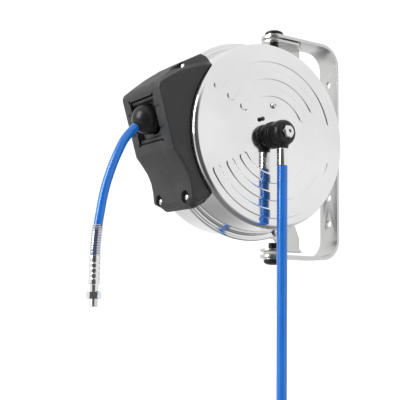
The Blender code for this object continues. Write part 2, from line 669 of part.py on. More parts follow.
def guide_housing(carrier, mouth):
    """The black shroud over the casing's opening, open behind, with the roller mouth in front."""
    stations = [(-GUIDE_HALF, False), (-CROWN_HALF, True), (CROWN_HALF, True), (GUIDE_HALF, False)]
    points = []
    for across, crown in stations:
        points += [(across, a - PIVOT_Y, b) for a, b in guide_section(crown)]
    count = len(guide_section(True))
    last = count * (len(stations) - 1)
    faces = [list(range(count)), list(range(last, last + count))]
    for row in range(len(stations) - 1):
        for k in range(count):
            after = (k + 1) % count
            faces.append([row * count + k, row * count + after, (row + 1) * count + after, (row + 1) * count + k])
    guide = place("guide_housing", mesh_from(points, faces, "guide_housing"), "black_plastic", parent=carrier)

    clear = 0.5 * MM
    case = [(0.0, REAR_X - 5 * MM), (REAR_SKIRT_R + clear, REAR_X - 5 * MM), (REAR_SKIRT_R + clear, -52 * MM)]
    case += [(SKIRT_R + clear, -2.2 * MM), (SEAM_R + clear, -2.2 * MM), (SEAM_R + clear, 2.2 * MM)]
    case += [(SKIRT_R + clear, 2.2 * MM), (FACE_EDGE_R + clear, 44 * MM), (FACE_EDGE_R + clear, 60 * MM)]
    case += [(0.0, 60 * MM)]
    cut(guide, turned("case_clearance", case, None, "X", FINE, parent=carrier,
                      at=(0.0, AXIS_Y - PIVOT_Y, AXIS_Z)))
    inner = [(-266.0, -21.0), (-250.0, -41.0), (-238.0, -58.0), (-190.0, -58.0), (-190.0, 60.0), (-236.0, 60.0),
             (-262.0, 50.0), (-279.0, 38.0)]
    inner = [(a * MM - PIVOT_Y, b * MM) for a, b in inner]
    wall = 3.0 * MM
    cut(guide, prism("guide_hollow", inner, None, "X", wall - GUIDE_HALF, GUIDE_HALF - wall, parent=carrier))
    room = FRAME_HALF + GAP
    cut(guide, box("frame_room", (-room, 2.9 * MM, -room), (room, 18 * MM, room), parent=mouth))
    half = MOUTH_HALF
    cut(guide, box("mouth_hole", (-half, -12 * MM, -half), (half, 5 * MM, half), parent=mouth))
    for k, (across, height) in enumerate(guide_screw_places()):
        side = 1 if height > 0 else -1
        pocket = rod(6.4 * MM, -300 * MM - PIVOT_Y, -245.2 * MM - PIVOT_Y)
        if side < 0:
            pocket = rod(6.4 * MM, -300 * MM - PIVOT_Y, -236.0 * MM - PIVOT_Y)
        cut(guide, turned(f"screw_pocket_{k}", pocket, None, "Y", SMALL, parent=carrier, at=(across, 0.0, height)))
        hole = rod(2.3 * MM, -300 * MM - PIVOT_Y, -227.5 * MM - PIVOT_Y)
        cut(guide, turned(f"screw_hole_{k}", hole, None, "Y", SMALL, parent=carrier, at=(across, 0.0, height)))


def guide_screw_places():
    return [(across, height) for height in (68.6 * MM, -77.6 * MM) for across in (-28.0 * MM, 28.0 * MM)]


def guide_screws(carrier):
    for k, (across, height) in enumerate(guide_screw_places()):
        seat = (-245.2 * MM if height > 0 else -236.0 * MM) - PIVOT_Y - GAP
        tip = -228.5 * MM - PIVOT_Y
        screw = [(0.0, seat - 2.8 * MM), (2.6 * MM, seat - 2.5 * MM), (3.8 * MM, seat - 1.2 * MM), (3.8 * MM, seat)]
        screw += [(2.0 * MM, seat), (2.0 * MM, tip), (0.0, tip)]
        turned(f"guide_screw_{k + 1}", screw, "chrome", "Y", SMALL, parent=carrier, at=(across, 0.0, height))


def roller_frame(mouth):
    """A square frame behind the mouth, with a hole for each roller's journals."""
    inner = INNER_HALF
    frame = box("roller_frame", (-FRAME_HALF, FRAME_NEAR, -FRAME_HALF), (FRAME_HALF, FRAME_FAR, FRAME_HALF),
                "black_plastic", parent=mouth)
    cut(frame, box("frame_hole", (-inner, 0.0, -inner), (inner, 2 * FRAME_FAR, inner), parent=mouth))
    for name, axis, at in roller_places():
        hole = rod(PIN_R + GAP, -2 * FRAME_HALF, 2 * FRAME_HALF)
        cut(frame, turned(f"{name}_pin_hole", hole, None, axis, SMALL, parent=mouth, at=at))


def roller_places():
    return [
        ("top_roller", "X", (0.0, ROLLER_DEPTH, ROLLER_REACH)),
        ("bottom_roller", "X", (0.0, ROLLER_DEPTH, -ROLLER_REACH)),
        ("left_roller", "Z", (-SIDE_REACH, SIDE_DEPTH, 0.0)),
        ("right_roller", "Z", (SIDE_REACH, SIDE_DEPTH, 0.0)),
    ]


def rollers(mouth):
    half = INNER_HALF - 0.6 * MM
    for name, axis, at in roller_places():
        hub = empty(f"{name}_axis", at, parent=mouth)
        end = FRAME_HALF - 0.4 * MM
        outline = [(0.0, -end), (PIN_R, -end), (PIN_R, -half), (ROLLER_R, -half), (ROLLER_R, half)]
        outline += [(PIN_R, half), (PIN_R, end), (0.0, end)]
        turned(name, outline, "black_plastic", axis, SMALL, parent=hub)


def lead_turn():
    """The slope of the hose between the ball and the drum: it passes the drum's axis at LEAD_OFFSET."""
    run = AXIS_Y - BALL.y
    drop = BALL.z - AXIS_Z
    return math.asin(LEAD_OFFSET / math.hypot(run, drop)) - math.atan2(drop, run)


def hose_end(slider):
    """The stop ball, the hose that runs from it into the casing, and the outlet hose with its fitting."""
    turn = lead_turn()
    way = Vector((0.0, math.cos(turn), math.sin(turn)))
    ball = [(BALL_R * math.sin(math.radians(t)), -BALL_R * math.cos(math.radians(t))) for t in range(0, 181, 15)]
    ball[0] = (0.0, -BALL_R)
    ball[-1] = (0.0, BALL_R)
    turned("stop_ball", ball, "black_plastic", "X", 20, parent=slider)
    reach = (BALL_R + GAP + 0.25 * MM, 112.0 * MM)
    tube("hose_lead", [BALL + way * (reach[0] + (reach[1] - reach[0]) * k / 4) for k in range(5)], HOSE_R,
         "hose_blue", parent=slider)
    route = [Vector((0.0, a * MM, b * MM)) for a, b in OUTLET_ROUTE]
    split = next(k for k, point in enumerate(route) if point.z < GUARD_FROM_Z)
    out = (route[0] - BALL).normalized()
    route[0] = BALL + out * (BALL_R + GAP + 0.5 * MM)
    tube("outlet_hose", route[:split], HOSE_R, "hose_blue", parent=slider)
    guard = [route[split - 1] + (route[split] - route[split - 1]).normalized() * 0.6 * MM, *route[split:]]
    tube("spring_guard", guard, HOSE_R + 0.6 * MM, "chrome", parent=slider)
    start = route[-1] - slider.location
    bore = 2.5
    ferrule = [(bore, -0.5), (6.15, -0.5), (6.15, -6.0), (5.9, -7.0), (5.9, -24.0), (6.15, -25.0)]
    ferrule += [(6.15, -31.0), (bore, -31.0)]
    where = {"parent": slider, "at": start}
    turned("outlet_ferrule", in_mm(ferrule), "chrome", "Z", 16, **where)
    outline = [(bore, -31.3), (4.6, -31.3), (4.6, -46.2), (4.85, -46.8), (4.85, -54.2), (bore, -54.2)]
    fitting = turned("outlet_fitting", in_mm(outline), "chrome", "Z", 16, **where)
    nut = prism("outlet_hex", hexagon(14.0 * MM), None, "Z", -46.0 * MM, -38.0 * MM, **where)
    cut(nut, turned("outlet_hex_bore", rod(3.5 * MM, -50 * MM, -30 * MM), None, "Z", 16, **where))
    join(fitting, nut)


def inlet_parts(elbow):
    """The turning elbow with its plug, the inlet hose that hangs from it, and that hose's end fitting."""
    body = [(0.0, 59.0), (13.0, 59.0), (13.2, 60.8), (15.0, 61.8), (15.2, 68.8), (14.6, 72.2), (12.6, 75.2)]
    body += [(9.5, 76.4), (0.0, 76.4)]
    shell = turned("inlet_elbow", in_mm(body), "black_plastic", "X", parent=elbow)
    neck = [(0.0, -17.8), (6.6, -17.8), (6.9, -17.2), (7.7, -14.0), (7.7, 0.0), (0.0, 0.0)]
    under = {"parent": elbow, "at": (ELBOW_X, 0.0, 0.0)}
    join(shell, turned("elbow_neck", in_mm(neck), None, "Z", **under))
    prism("elbow_plug", hexagon(13.6 * MM), "chrome", "X", 76.4 * MM + GAP, 80.2 * MM, parent=elbow)
    ferrule = [(3.0, -18.1), (6.3, -18.1), (6.4, -18.8), (6.4, -37.3), (6.1, -38.1), (3.0, -38.1)]
    turned("inlet_ferrule", in_mm(ferrule), "chrome", "Z", 16, **under)
    top = Vector((ELBOW_X, AXIS_Y, AXIS_Z + INLET_HOSE_TOP))
    low = Vector((ELBOW_X, AXIS_Y, INLET_HOSE_END))
    count = 12
    tube("inlet_hose", [top.lerp(low, k / count) for k in range(count + 1)], INLET_HOSE_R, "hose_blue",
         parent=elbow)
    end = (INLET_HOSE_END - AXIS_Z - GAP) / MM
    crimp = ring(3.0, 6.9, end - 24.0, end)
    turned("inlet_end_ferrule", in_mm(crimp), "chrome", "Z", 16, **under)
    top = end - 24.3
    outline = [(3.0, top), (5.2, top), (5.2, top - 12.5), (6.4, top - 13.4), (6.4, top - 24.0), (3.0, top - 24.0)]
    fitting = turned("inlet_end_fitting", in_mm(outline), "chrome", "Z", 16, **under)
    nut = prism("inlet_hex", hexagon(17.0 * MM), None, "Z", (top - 12.6) * MM, (top - 3.0) * MM, **under)
    cut(nut, turned("inlet_hex_bore", rod(4.1 * MM, (top - 30.0) * MM, top * MM), None, "Z", 16, **under))
    join(fitting, nut)


def main():
    clear_scene()
    carrier = empty("swivel_axis", (0.0, PIVOT_Y, 0.0))
    depth = AXIS_Y - PIVOT_Y
    drum = empty("drum_axis", (0.0, depth, AXIS_Z), parent=carrier)
    pawl = empty("pawl_axis", (0.0, depth, AXIS_Z + PAWL_PIVOT_R), parent=carrier)
    elbow = empty("elbow_axis", (0.0, depth, AXIS_Z), parent=carrier)
    mouth = empty("mouth_frame", MOUTH - Vector((0.0, PIVOT_Y, 0.0)), MOUTH_TILT, parent=carrier)
    slider = empty("hose_slide", BALL)
    wall_strap()
    for name, side in (("upper", 1), ("lower", -1)):
        pivot_stack(name, side, carrier)
        swivel_bracket(f"{name}_swivel_bracket", side, carrier)
    seam_screws(carrier)
    covers(carrier)
    shaft_parts(carrier)
    drum_parts(drum)
    pawl_parts(carrier, pawl)
    guide_housing(carrier, mouth)
    guide_screws(carrier)
    roller_frame(mouth)
    rollers(mouth)
    hose_end(slider)
    inlet_parts(elbow)


main()
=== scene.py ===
"""Looks of the wall-mounted spring-rewind hose reel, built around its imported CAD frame."""

import json
import math

import bmesh
import bpy
from mathutils import Matrix, Vector


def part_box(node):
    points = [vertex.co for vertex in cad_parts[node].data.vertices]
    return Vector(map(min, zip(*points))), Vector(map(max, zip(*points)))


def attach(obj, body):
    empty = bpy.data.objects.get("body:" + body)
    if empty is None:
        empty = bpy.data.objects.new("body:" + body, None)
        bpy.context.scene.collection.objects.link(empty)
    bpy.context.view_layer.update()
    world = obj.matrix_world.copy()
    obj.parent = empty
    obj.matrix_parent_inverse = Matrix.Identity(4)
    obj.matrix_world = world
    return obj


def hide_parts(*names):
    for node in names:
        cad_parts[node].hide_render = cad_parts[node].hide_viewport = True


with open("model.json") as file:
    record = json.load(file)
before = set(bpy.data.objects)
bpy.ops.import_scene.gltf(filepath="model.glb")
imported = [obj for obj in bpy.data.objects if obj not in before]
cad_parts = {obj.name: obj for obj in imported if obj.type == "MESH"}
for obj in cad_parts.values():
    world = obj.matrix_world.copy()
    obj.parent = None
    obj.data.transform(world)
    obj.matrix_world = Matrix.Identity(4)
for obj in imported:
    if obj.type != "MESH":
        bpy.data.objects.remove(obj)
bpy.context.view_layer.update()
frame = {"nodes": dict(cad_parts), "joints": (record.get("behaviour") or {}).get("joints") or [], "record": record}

MM = 0.001
GAP = 0.3 * MM
TINY = 1e-7
scene = bpy.context.scene
joint = {j["name"]: j for j in frame["joints"]}
AXIS = Vector(joint["drum_spin"]["pos_m"])
PIVOT = Vector(joint["casing_swivel"]["pos_m"])
PAWL_PIN = Vector(joint["pawl_swing"]["pos_m"])
STRAP_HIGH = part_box("wall_strap")[1]
BALL = (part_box("stop_ball")[0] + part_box("stop_ball")[1]) / 2
BALL_R = (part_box("stop_ball")[1].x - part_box("stop_ball")[0].x) / 2
MOUTH = Vector((0.0, -275.8 * MM, 8.0 * MM))
MOUTH_TURN = Matrix.Translation(MOUTH) @ Matrix.Rotation(math.radians(17.3), 4, "X")
NO_TURN = Matrix.Identity(4)


# ---------------------------------------------------------------- camera

CAMERA_AT = Vector((0.8132, -0.7383, -0.1927))
CAMERA_TURN = math.radians(56.47)
CAMERA_RISE = math.radians(6.93)
CAMERA_ROLL = math.radians(0.825)
CAMERA_LENS = 76.46
CAMERA_SHIFT = (-0.004, -0.00225)


def camera():
    out = Vector((-math.sin(CAMERA_TURN) * math.cos(CAMERA_RISE),
                  math.cos(CAMERA_TURN) * math.cos(CAMERA_RISE),
                  math.sin(CAMERA_RISE)))
    level = Vector((math.cos(CAMERA_TURN), math.sin(CAMERA_TURN), 0.0))
    rise = level.cross(out)
    right = level * math.cos(CAMERA_ROLL) + rise * math.sin(CAMERA_ROLL)
    up = rise * math.cos(CAMERA_ROLL) - level * math.sin(CAMERA_ROLL)
    data = bpy.data.cameras.new("camera")
    data.lens = CAMERA_LENS
    data.sensor_width = 36.0
    data.shift_x, data.shift_y = CAMERA_SHIFT
    data.clip_start = 0.01
    made = bpy.data.objects.new("camera", data)
    scene.collection.objects.link(made)
    turn = Matrix((right, up, -out)).transposed().to_4x4()
    made.matrix_world = Matrix.Translation(CAMERA_AT) @ turn
    scene.camera = made


camera()


# ---------------------------------------------------------------- materials


class Nodes:
    """A short way to write a material's nodes."""

    def __init__(self, name):
        self.data = bpy.data.materials.new(name)
        self.data.use_nodes = True
        self.tree = self.data.node_tree
        self.shader = self.tree.nodes["Principled BSDF"]
        self.place = self.add("ShaderNodeTexCoord").outputs["Object"]

    def add(self, kind, **values):
        made = self.tree.nodes.new(kind)
        for key, value in values.items():
            setattr(made, key, value)
        return made

    def join(self, a, b):
        self.tree.links.new(a, b)

    def stretched(self, scale):
        made = self.add("ShaderNodeMapping")
        made.inputs["Scale"].default_value = scale
        self.join(self.place, made.inputs["Vector"])
        return made.outputs["Vector"]

    def noise(self, scale, detail=3.0, where=None, rough=0.55):
        made = self.add("ShaderNodeTexNoise")
        made.inputs["Scale"].default_value = scale
        made.inputs["Detail"].default_value = detail
        made.inputs["Roughness"].default_value = rough
        self.join(where or self.place, made.inputs["Vector"])
        return made.outputs["Fac"]

    def spread(self, value, low, high, start=0.35, end=0.65):
        made = self.add("ShaderNodeMapRange")
        made.inputs["From Min"].default_value = start
        made.inputs["From Max"].default_value = end
        made.inputs["To Min"].default_value = low
        made.inputs["To Max"].default_value = high
        self.join(value, made.inputs["Value"])
        return made.outputs["Result"]

    def colours(self, value, first, second):
        made = self.add("ShaderNodeMix", data_type="RGBA")
        made.inputs["A"].default_value = (*first, 1.0)
        made.inputs["B"].default_value = (*second, 1.0)
        self.join(value, made.inputs["Factor"])
        return made.outputs["Result"]

    def math(self, operation, a, b):
        made = self.add("ShaderNodeMath", operation=operation)
        for socket, value in zip(made.inputs, (a, b)):
            if isinstance(value, float):
                socket.default_value = value
            else:
                self.join(value, socket)
        return made.outputs["Value"]

    def bump(self, height, strength, distance):
        made = self.add("ShaderNodeBump")
        made.inputs["Strength"].default_value = strength
        made.inputs["Distance"].default_value = distance
        self.join(height, made.inputs["Height"])
        self.join(made.outputs["Normal"], self.shader.inputs["Normal"])

    def set(self, **values):
        for key, value in values.items():
            self.shader.inputs[key.replace("_", " ")].default_value = value


def metal(name, light, dark, rough, grain, bump, patch=18.0):
    """Bare metal: a soft cloudiness, rubbed patches and a directional grain."""
    n = Nodes(name)
    n.set(Metallic=1.0)
    cloud = n.noise(patch, 4.0)
    n.join(n.colours(n.spread(cloud, 0.0, 1.0), light, dark), n.shader.inputs["Base Color"])
    lines = n.noise(1.0, 2.0, n.stretched(grain))
    rub = n.spread(n.noise(patch * 3.3, 5.0), -0.4, 0.6)
    mixed = n.math("ADD", n.math("MULTIPLY", rub, 0.35), lines)
    n.join(n.spread(mixed, rough[0], rough[1], 0.3, 0.9), n.shader.inputs["Roughness"])
    n.bump(lines, bump, 0.02 * MM)
    return n.data


def plastic(name, colour, worn, rough, grain_size, bump, specular=0.5):
    """Moulded plastic: a fine eroded grain, faint flow clouds and lightly rubbed spots."""
    n = Nodes(name)
    n.set(Specular_IOR_Level=specular)
    rubbed = n.spread(n.noise(55.0, 6.0), 0.0, 1.0, 0.5, 0.74)
    n.join(n.colours(rubbed, colour, worn), n.shader.inputs["Base Color"])
    n.join(n.spread(n.noise(24.0, 4.0), rough[0], rough[1]), n.shader.inputs["Roughness"])
    n.bump(n.noise(1.0 / grain_size, 2.0), bump, 0.05 * MM)
    return n.data


def hose_look():
    """Glossy blue polyurethane with faint draw lines along it and a little dust."""
    n = Nodes("hose_blue")
    n.set(Specular_IOR_Level=0.55, Coat_Weight=0.35, Coat_Roughness=0.06)
    cloud = n.spread(n.noise(30.0, 3.0), 0.0, 1.0)
    n.join(n.colours(cloud, (0.001, 0.100, 0.40), (0.002, 0.118, 0.45)), n.shader.inputs["Base Color"])
    n.join(n.spread(n.noise(120.0, 5.0), 0.16, 0.27), n.shader.inputs["Roughness"])
    n.bump(n.noise(1.0, 2.0, n.stretched((900.0, 900.0, 30.0))), 0.05, 0.05 * MM)
    return n.data


def polished_look():
    """Mirror-finished sheet with fine rings round its own axis, faint clouds and wiping marks."""
    n = Nodes("steel_polished")
    n.set(Metallic=1.0)
    cloud = n.spread(n.noise(14.0, 4.0), 0.0, 1.0)
    n.join(n.colours(cloud, (0.87, 0.87, 0.87), (0.80, 0.80, 0.805)), n.shader.inputs["Base Color"])
    apart = n.add("ShaderNodeSeparateXYZ")
    n.join(n.place, apart.inputs["Vector"])
    across = n.math("SUBTRACT", apart.outputs["Y"], AXIS.y)
    above = n.math("SUBTRACT", apart.outputs["Z"], AXIS.z)
    squares = n.math("ADD", n.math("MULTIPLY", across, across), n.math("MULTIPLY", above, above))
    reach = n.math("SQRT", squares, 0.0)
    both = n.add("ShaderNodeCombineXYZ")
    n.join(reach, both.inputs["X"])
    n.join(apart.outputs["X"], both.inputs["Y"])
    rings = n.noise(2600.0, 2.0, both.outputs["Vector"])
    wipes = n.noise(46.0, 6.0)
    mixed = n.math("ADD", n.math("MULTIPLY", rings, 0.5), n.math("MULTIPLY", wipes, 0.5))
    n.join(n.spread(mixed, 0.055, 0.15), n.shader.inputs["Roughness"])
    n.bump(rings, 0.03, 0.01 * MM)
    return n.data


LOOKS = {
    "steel_polished": polished_look(),
    "steel_brushed": metal("steel_brushed", (0.66, 0.66, 0.655), (0.62, 0.62, 0.615), (0.24, 0.33),
                           (2400.0, 2400.0, 60.0), 0.03),
    "steel_dark": metal("steel_dark", (0.05, 0.05, 0.052), (0.09, 0.088, 0.085), (0.30, 0.48),
                        (900.0, 900.0, 900.0), 0.15),
    "chrome": metal("chrome", (0.88, 0.88, 0.885), (0.80, 0.80, 0.81), (0.05, 0.14),
                    (500.0, 500.0, 500.0), 0.03),
    "black_plastic": plastic("black_plastic", (0.016, 0.0162, 0.017), (0.024, 0.024, 0.025), (0.44, 0.54),
                             0.45 * MM, 0.22),
    "web_grey": plastic("web_grey_plastic", (0.050, 0.050, 0.052), (0.070, 0.070, 0.071), (0.50, 0.62),
                        0.5 * MM, 0.15),
    "black_rubber": plastic("black_rubber", (0.010, 0.010, 0.010), (0.022, 0.021, 0.020), (0.55, 0.75),
                            0.6 * MM, 0.3, 0.3),
    "nylon": plastic("nylon", (0.70, 0.69, 0.63), (0.60, 0.58, 0.51), (0.42, 0.56), 0.8 * MM, 0.1),
    "hose_blue": hose_look(),
    "spring_steel": metal("spring_steel", (0.33, 0.35, 0.38), (0.22, 0.21, 0.20), (0.26, 0.42),
                          (1500.0, 1500.0, 1500.0), 0.1),
}
GLOSS = plastic("gloss_black_plastic", (0.008, 0.008, 0.0085), (0.014, 0.014, 0.014), (0.22, 0.32),
                0.9 * MM, 0.04, 0.28)


def paint_frame():
    for part in frame["record"]["subparts"]:
        item = frame["nodes"][part["node"]]
        item.data.materials.clear()
        item.data.materials.append(LOOKS[part["material_slot"]])


paint_frame()
SLOT = {part["node"]: part["material_slot"] for part in frame["record"]["subparts"]}
BODY = {node: body for body, nodes in frame["record"]["behaviour"]["bodies"].items() for node in nodes}


# ---------------------------------------------------------------- mesh helpers


def mesh_of(points, faces, name="piece"):
    mesh = bpy.data.meshes.new(name)
    mesh.from_pydata([tuple(p) for p in points], [], faces)
    work = bmesh.new()
    work.from_mesh(mesh)
    bmesh.ops.recalc_face_normals(work, faces=work.faces)
    work.to_mesh(mesh)
    work.free()
    return mesh


def rounded(outline, radius, steps=3):
    """An outline of pairs with its sharp corners rounded. One that starts on the axis stays open there."""
    closed = outline[0][0] > TINY
    made = []
    count = len(outline)
    for k, pair in enumerate(outline):
        here = Vector(pair)
        if not closed and k in (0, count - 1):
            made.append(pair)
            continue
        back = Vector(outline[k - 1]) - here
        on = Vector(outline[(k + 1) % count]) - here
        turn = math.pi - back.angle(on)
        if turn < math.radians(18):
            made.append(pair)
            continue
        reach = min(radius * math.tan(turn / 2), 0.42 * back.length, 0.42 * on.length)
        start = here + back.normalized() * reach
        end = here + on.normalized() * reach
        for j in range(steps + 1):
            t = j / steps
            at = start * (1 - t) ** 2 + here * 2 * t * (1 - t) + end * t * t
            made.append((at.x, at.y))
    return made


def on_axis(axis, radius, height, turn):
    a = radius * math.cos(turn)
    b = radius * math.sin(turn)
    return {"X": (height, a, b), "Y": (a, height, b), "Z": (a, b, height)}[axis]


def lathe(outline, axis, at, sides=64):
    """A mesh turned about an axis through a point, from (radius, height) pairs."""
    points = []
    rows = []
    for radius, height in outline:
        if radius < TINY:
            points.append(Vector(on_axis(axis, 0.0, height, 0.0)) + at)
            rows.append([len(points) - 1] * sides)
            continue
        rows.append(list(range(len(points), len(points) + sides)))
        points += [Vector(on_axis(axis, radius, height, math.tau * k / sides)) + at for k in range(sides)]
    faces = []
    for low, high in zip(rows, rows[1:] + rows[:1]):
        for k in range(sides):
            corners = list(dict.fromkeys([low[k], low[(k + 1) % sides], high[(k + 1) % sides], high[k]]))
            if len(corners) > 2:
                faces.append(corners)
    return mesh_of(points, faces)


def prism(outline, axis, low, high, at=Vector(), turn=NO_TURN):
    """A mesh of a flat outline extruded along an axis. Its pairs are the other two axes in X, Y, Z order."""
    order = {"X": (2, 0, 1), "Y": (0, 2, 1), "Z": (0, 1, 2)}[axis]
    points = []
    for level in (low, high):
        for a, b in outline:
            triple = (a, b, level)
            points.append(turn @ (Vector([triple[k] for k in order]) + at))
    count = len(outline)
    faces = [list(range(count)), list(range(count, 2 * count))]
    for k in range(count):
        after = (k + 1) % count
        faces.append([k, after, count + after, count + k])
    return mesh_of(points, faces)


def arc(centre, radius, start, end, steps):
    made = []
    for k in range(steps + 1):
        t = math.radians(start + (end - start) * k / steps)
        made.append((centre[0] + radius * math.cos(t), centre[1] + radius * math.sin(t)))
    return made


def hexagon(flats):
    corner = flats / math.sqrt(3.0)
    return [(corner * math.cos(math.pi * k / 3), corner * math.sin(math.pi * k / 3)) for k in range(6)]


def rod(radius, low, high):
    return [(0.0, low), (radius, low), (radius, high), (0.0, high)]


def ring(inner, outer, low, high):
    return [(inner, low), (outer, low), (outer, high), (inner, high)]


def in_mm(pairs):
    return [(a * MM, b * MM) for a, b in pairs]


def worked(mesh, cuts=(), joins=(), keeps=(), bevel=0.0, angle=30.0, segments=3, bevel_first=0.0):
    """The mesh after its Booleans and bevels, as real geometry."""
    item = bpy.data.objects.new("work", mesh)
    scene.collection.objects.link(item)
    helpers = []

    def chamfer(width):
        step = item.modifiers.new("bevel", "BEVEL")
        step.width = width
        step.segments = segments
        step.limit_method = "ANGLE"
        step.angle_limit = math.radians(angle)
        step.miter_outer = "MITER_ARC"

    if bevel_first:
        chamfer(bevel_first)
    for group, operation in ((keeps, "INTERSECT"), (joins, "UNION"), (cuts, "DIFFERENCE")):
        for other in group:
            helper = bpy.data.objects.new("helper", other)
            scene.collection.objects.link(helper)
            helpers.append(helper)
            step = item.modifiers.new("boolean", "BOOLEAN")
            step.operation = operation
            step.solver = "EXACT"
            step.object = helper
    if bevel:
        chamfer(bevel)
    seen = item.evaluated_get(bpy.context.evaluated_depsgraph_get())
    made = bpy.data.meshes.new_from_object(seen)
    for other in (item, *helpers):
        bpy.data.objects.remove(other, do_unlink=True)
    return made


def piece(name, mesh, node, look=None, stands=True, angle=32.0, more=()):
    """A finished piece that stands for a CAD node, rides on its body and has its slot."""
    made = bpy.data.objects.new(name, mesh)
    scene.collection.objects.link(made)
    mesh.materials.clear()
    mesh.materials.append(look or LOOKS[SLOT[node]])
    mesh.shade_smooth()
    mesh.set_sharp_from_angle(angle=math.radians(angle))
    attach(made, BODY[node])
    if stands:
        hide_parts(node, *more)
    return made


def turned(name, outline, axis, at, node, radius=0.3 * MM, sides=64, look=None, cuts=(), joins=()):
    mesh = lathe(rounded(outline, radius), axis, at, sides)
    if cuts or joins:
        mesh = worked(mesh, cuts, joins)
    return piece(name, mesh, node, look)


def smooth_path(route, count):
    """Points at an even spacing on a Catmull-Rom curve through the route."""
    ends = [route[0] * 2 - route[1], *route, route[-1] * 2 - route[-2]]
    fine = []
    for a, b, c, d in zip(ends, ends[1:], ends[2:], ends[3:]):
        for k in range(12):
            t = k / 12
            fine.append((b * 2 + (c - a) * t + (a * 2 - b * 5 + c * 4 - d) * t**2
                         + (b * 3 - a - c * 3 + d) * t**3) / 2)
    fine.append(route[-1])
    lengths = [0.0]
    for a, b in zip(fine, fine[1:]):
        lengths.append(lengths[-1] + (b - a).length)
    made = []
    reach = 0
    for k in range(count):
        want = lengths[-1] * k / (count - 1)
        while reach < len(fine) - 2 and lengths[reach + 1] < want:
            reach += 1
        share = (want - lengths[reach]) / (lengths[reach + 1] - lengths[reach])
        made.append(fine[reach].lerp(fine[reach + 1], share))
    return made


def hose(name, points, radius, node, more=()):
    curve = bpy.data.curves.new(name, "CURVE")
    curve.dimensions = "3D"
    curve.bevel_depth = radius
    curve.bevel_resolution = 8
    curve.use_fill_caps = True
    line = curve.splines.new("POLY")
    line.points.add(len(points) - 1)
    for target, point in zip(line.points, points):
        target.co = (*point, 1.0)
    line.use_smooth = True
    curve.materials.append(LOOKS["hose_blue"])
    made = bpy.data.objects.new(name, curve)
    scene.collection.objects.link(made)
    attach(made, BODY[node])
    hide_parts(node, *more)
    return made


def wire(path, radius, sides=8):
    """A closed tube along a path of points."""
    points = []
    side = None
    for k, here in enumerate(path):
        along = (path[min(k + 1, len(path) - 1)] - path[max(k - 1, 0)]).normalized()
        if side is None:
            side = along.orthogonal().normalized()
        side = (side - along * side.dot(along)).normalized()
        other = along.cross(side)
        turns = [math.tau * j / sides for j in range(sides)]
        points += [here + (side * math.cos(t) + other * math.sin(t)) * radius for t in turns]
    faces = [list(range(sides)), list(range(len(points) - sides, len(points)))]
    for k in range(len(path) - 1):
        for j in range(sides):
            after = (j + 1) % sides
            faces.append([k * sides + j, k * sides + after, (k + 1) * sides + after, (k + 1) * sides + j])
    return mesh_of(points, faces)


# ---------------------------------------------------------------- hoses

INLET_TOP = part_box("inlet_hose")[1].z
INLET_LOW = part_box("inlet_hose")[0].z
INLET_X = (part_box("inlet_hose")[0].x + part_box("inlet_hose")[1].x) / 2
HOSE_R = 5.0 * MM
INLET_HOSE_R = 6.0 * MM
OUTLET_ROUTE = (
    (-289.4, -0.8), (-296.4, -8.6), (-302.7, -17.0), (-307.2, -25.6), (-311.3, -34.6),
    (-315.3, -44.2), (-318.8, -54.1), (-322.1, -64.1), (-324.8, -74.3), (-327.1, -85.2),
    (-328.9, -96.2), (-330.8, -108.0), (-332.3, -120.0), (-333.4, -132.5), (-333.9, -144.6),
)
GUARD_FROM_Z = -113.6 * MM
COIL_WIRE = 0.62 * MM
COIL_PITCH = 1.75 * MM


def outlet_path():
    route = [Vector((0.0, a * MM, b * MM)) for a, b in OUTLET_ROUTE]
    out = (route[0] - BALL).normalized()
    route[0] = BALL + out * (BALL_R + 0.1 * MM)
    return smooth_path(route, 40)


def threaded(low, high, outer, pitch, bore):
    """A ring's outline with thread ridges on its outside, from high to low."""
    count = int((high - low) / pitch)
    made = [(bore, low), (outer - 0.7 * MM, low)]
    for k in range(count):
        start = low + (high - low) * k / count
        step = (high - low) / count
        made += [(outer - 0.55 * MM, start + 0.15 * step), (outer, start + 0.5 * step),
                 (outer - 0.55 * MM, start + 0.85 * step)]
    return made + [(outer - 0.7 * MM, high), (bore, high)]


def nut(flats, low, high, bore, at, axis="Z"):
    """A chamfered hexagon nut."""
    corner = flats / math.sqrt(3.0)
    round_off = [(bore, low), (flats / 2 * 0.99, low), (corner * 1.01, low + 0.09 * flats),
                 (corner * 1.01, high - 0.09 * flats), (flats / 2 * 0.99, high), (bore, high)]
    body = prism(hexagon(flats), axis, low - MM, high + MM, at)
    return worked(body, keeps=[lathe(round_off, axis, at, 96)], bevel=0.25 * MM, angle=40.0, segments=2)


def crimped(low, high, outer, bore):
    """The outline of a pressed ferrule: a rolled lip at each end and shallow grooves between."""
    span = high - low
    made = [(bore, low), (outer, low), (outer, low + 0.10 * span)]
    for share in (0.22, 0.40, 0.58, 0.76):
        made += [(outer, low + (share - 0.045) * span), (outer - 0.45 * MM, low + share * span),
                 (outer, low + (share + 0.045) * span)]
    return made + [(outer, high), (bore, high)]


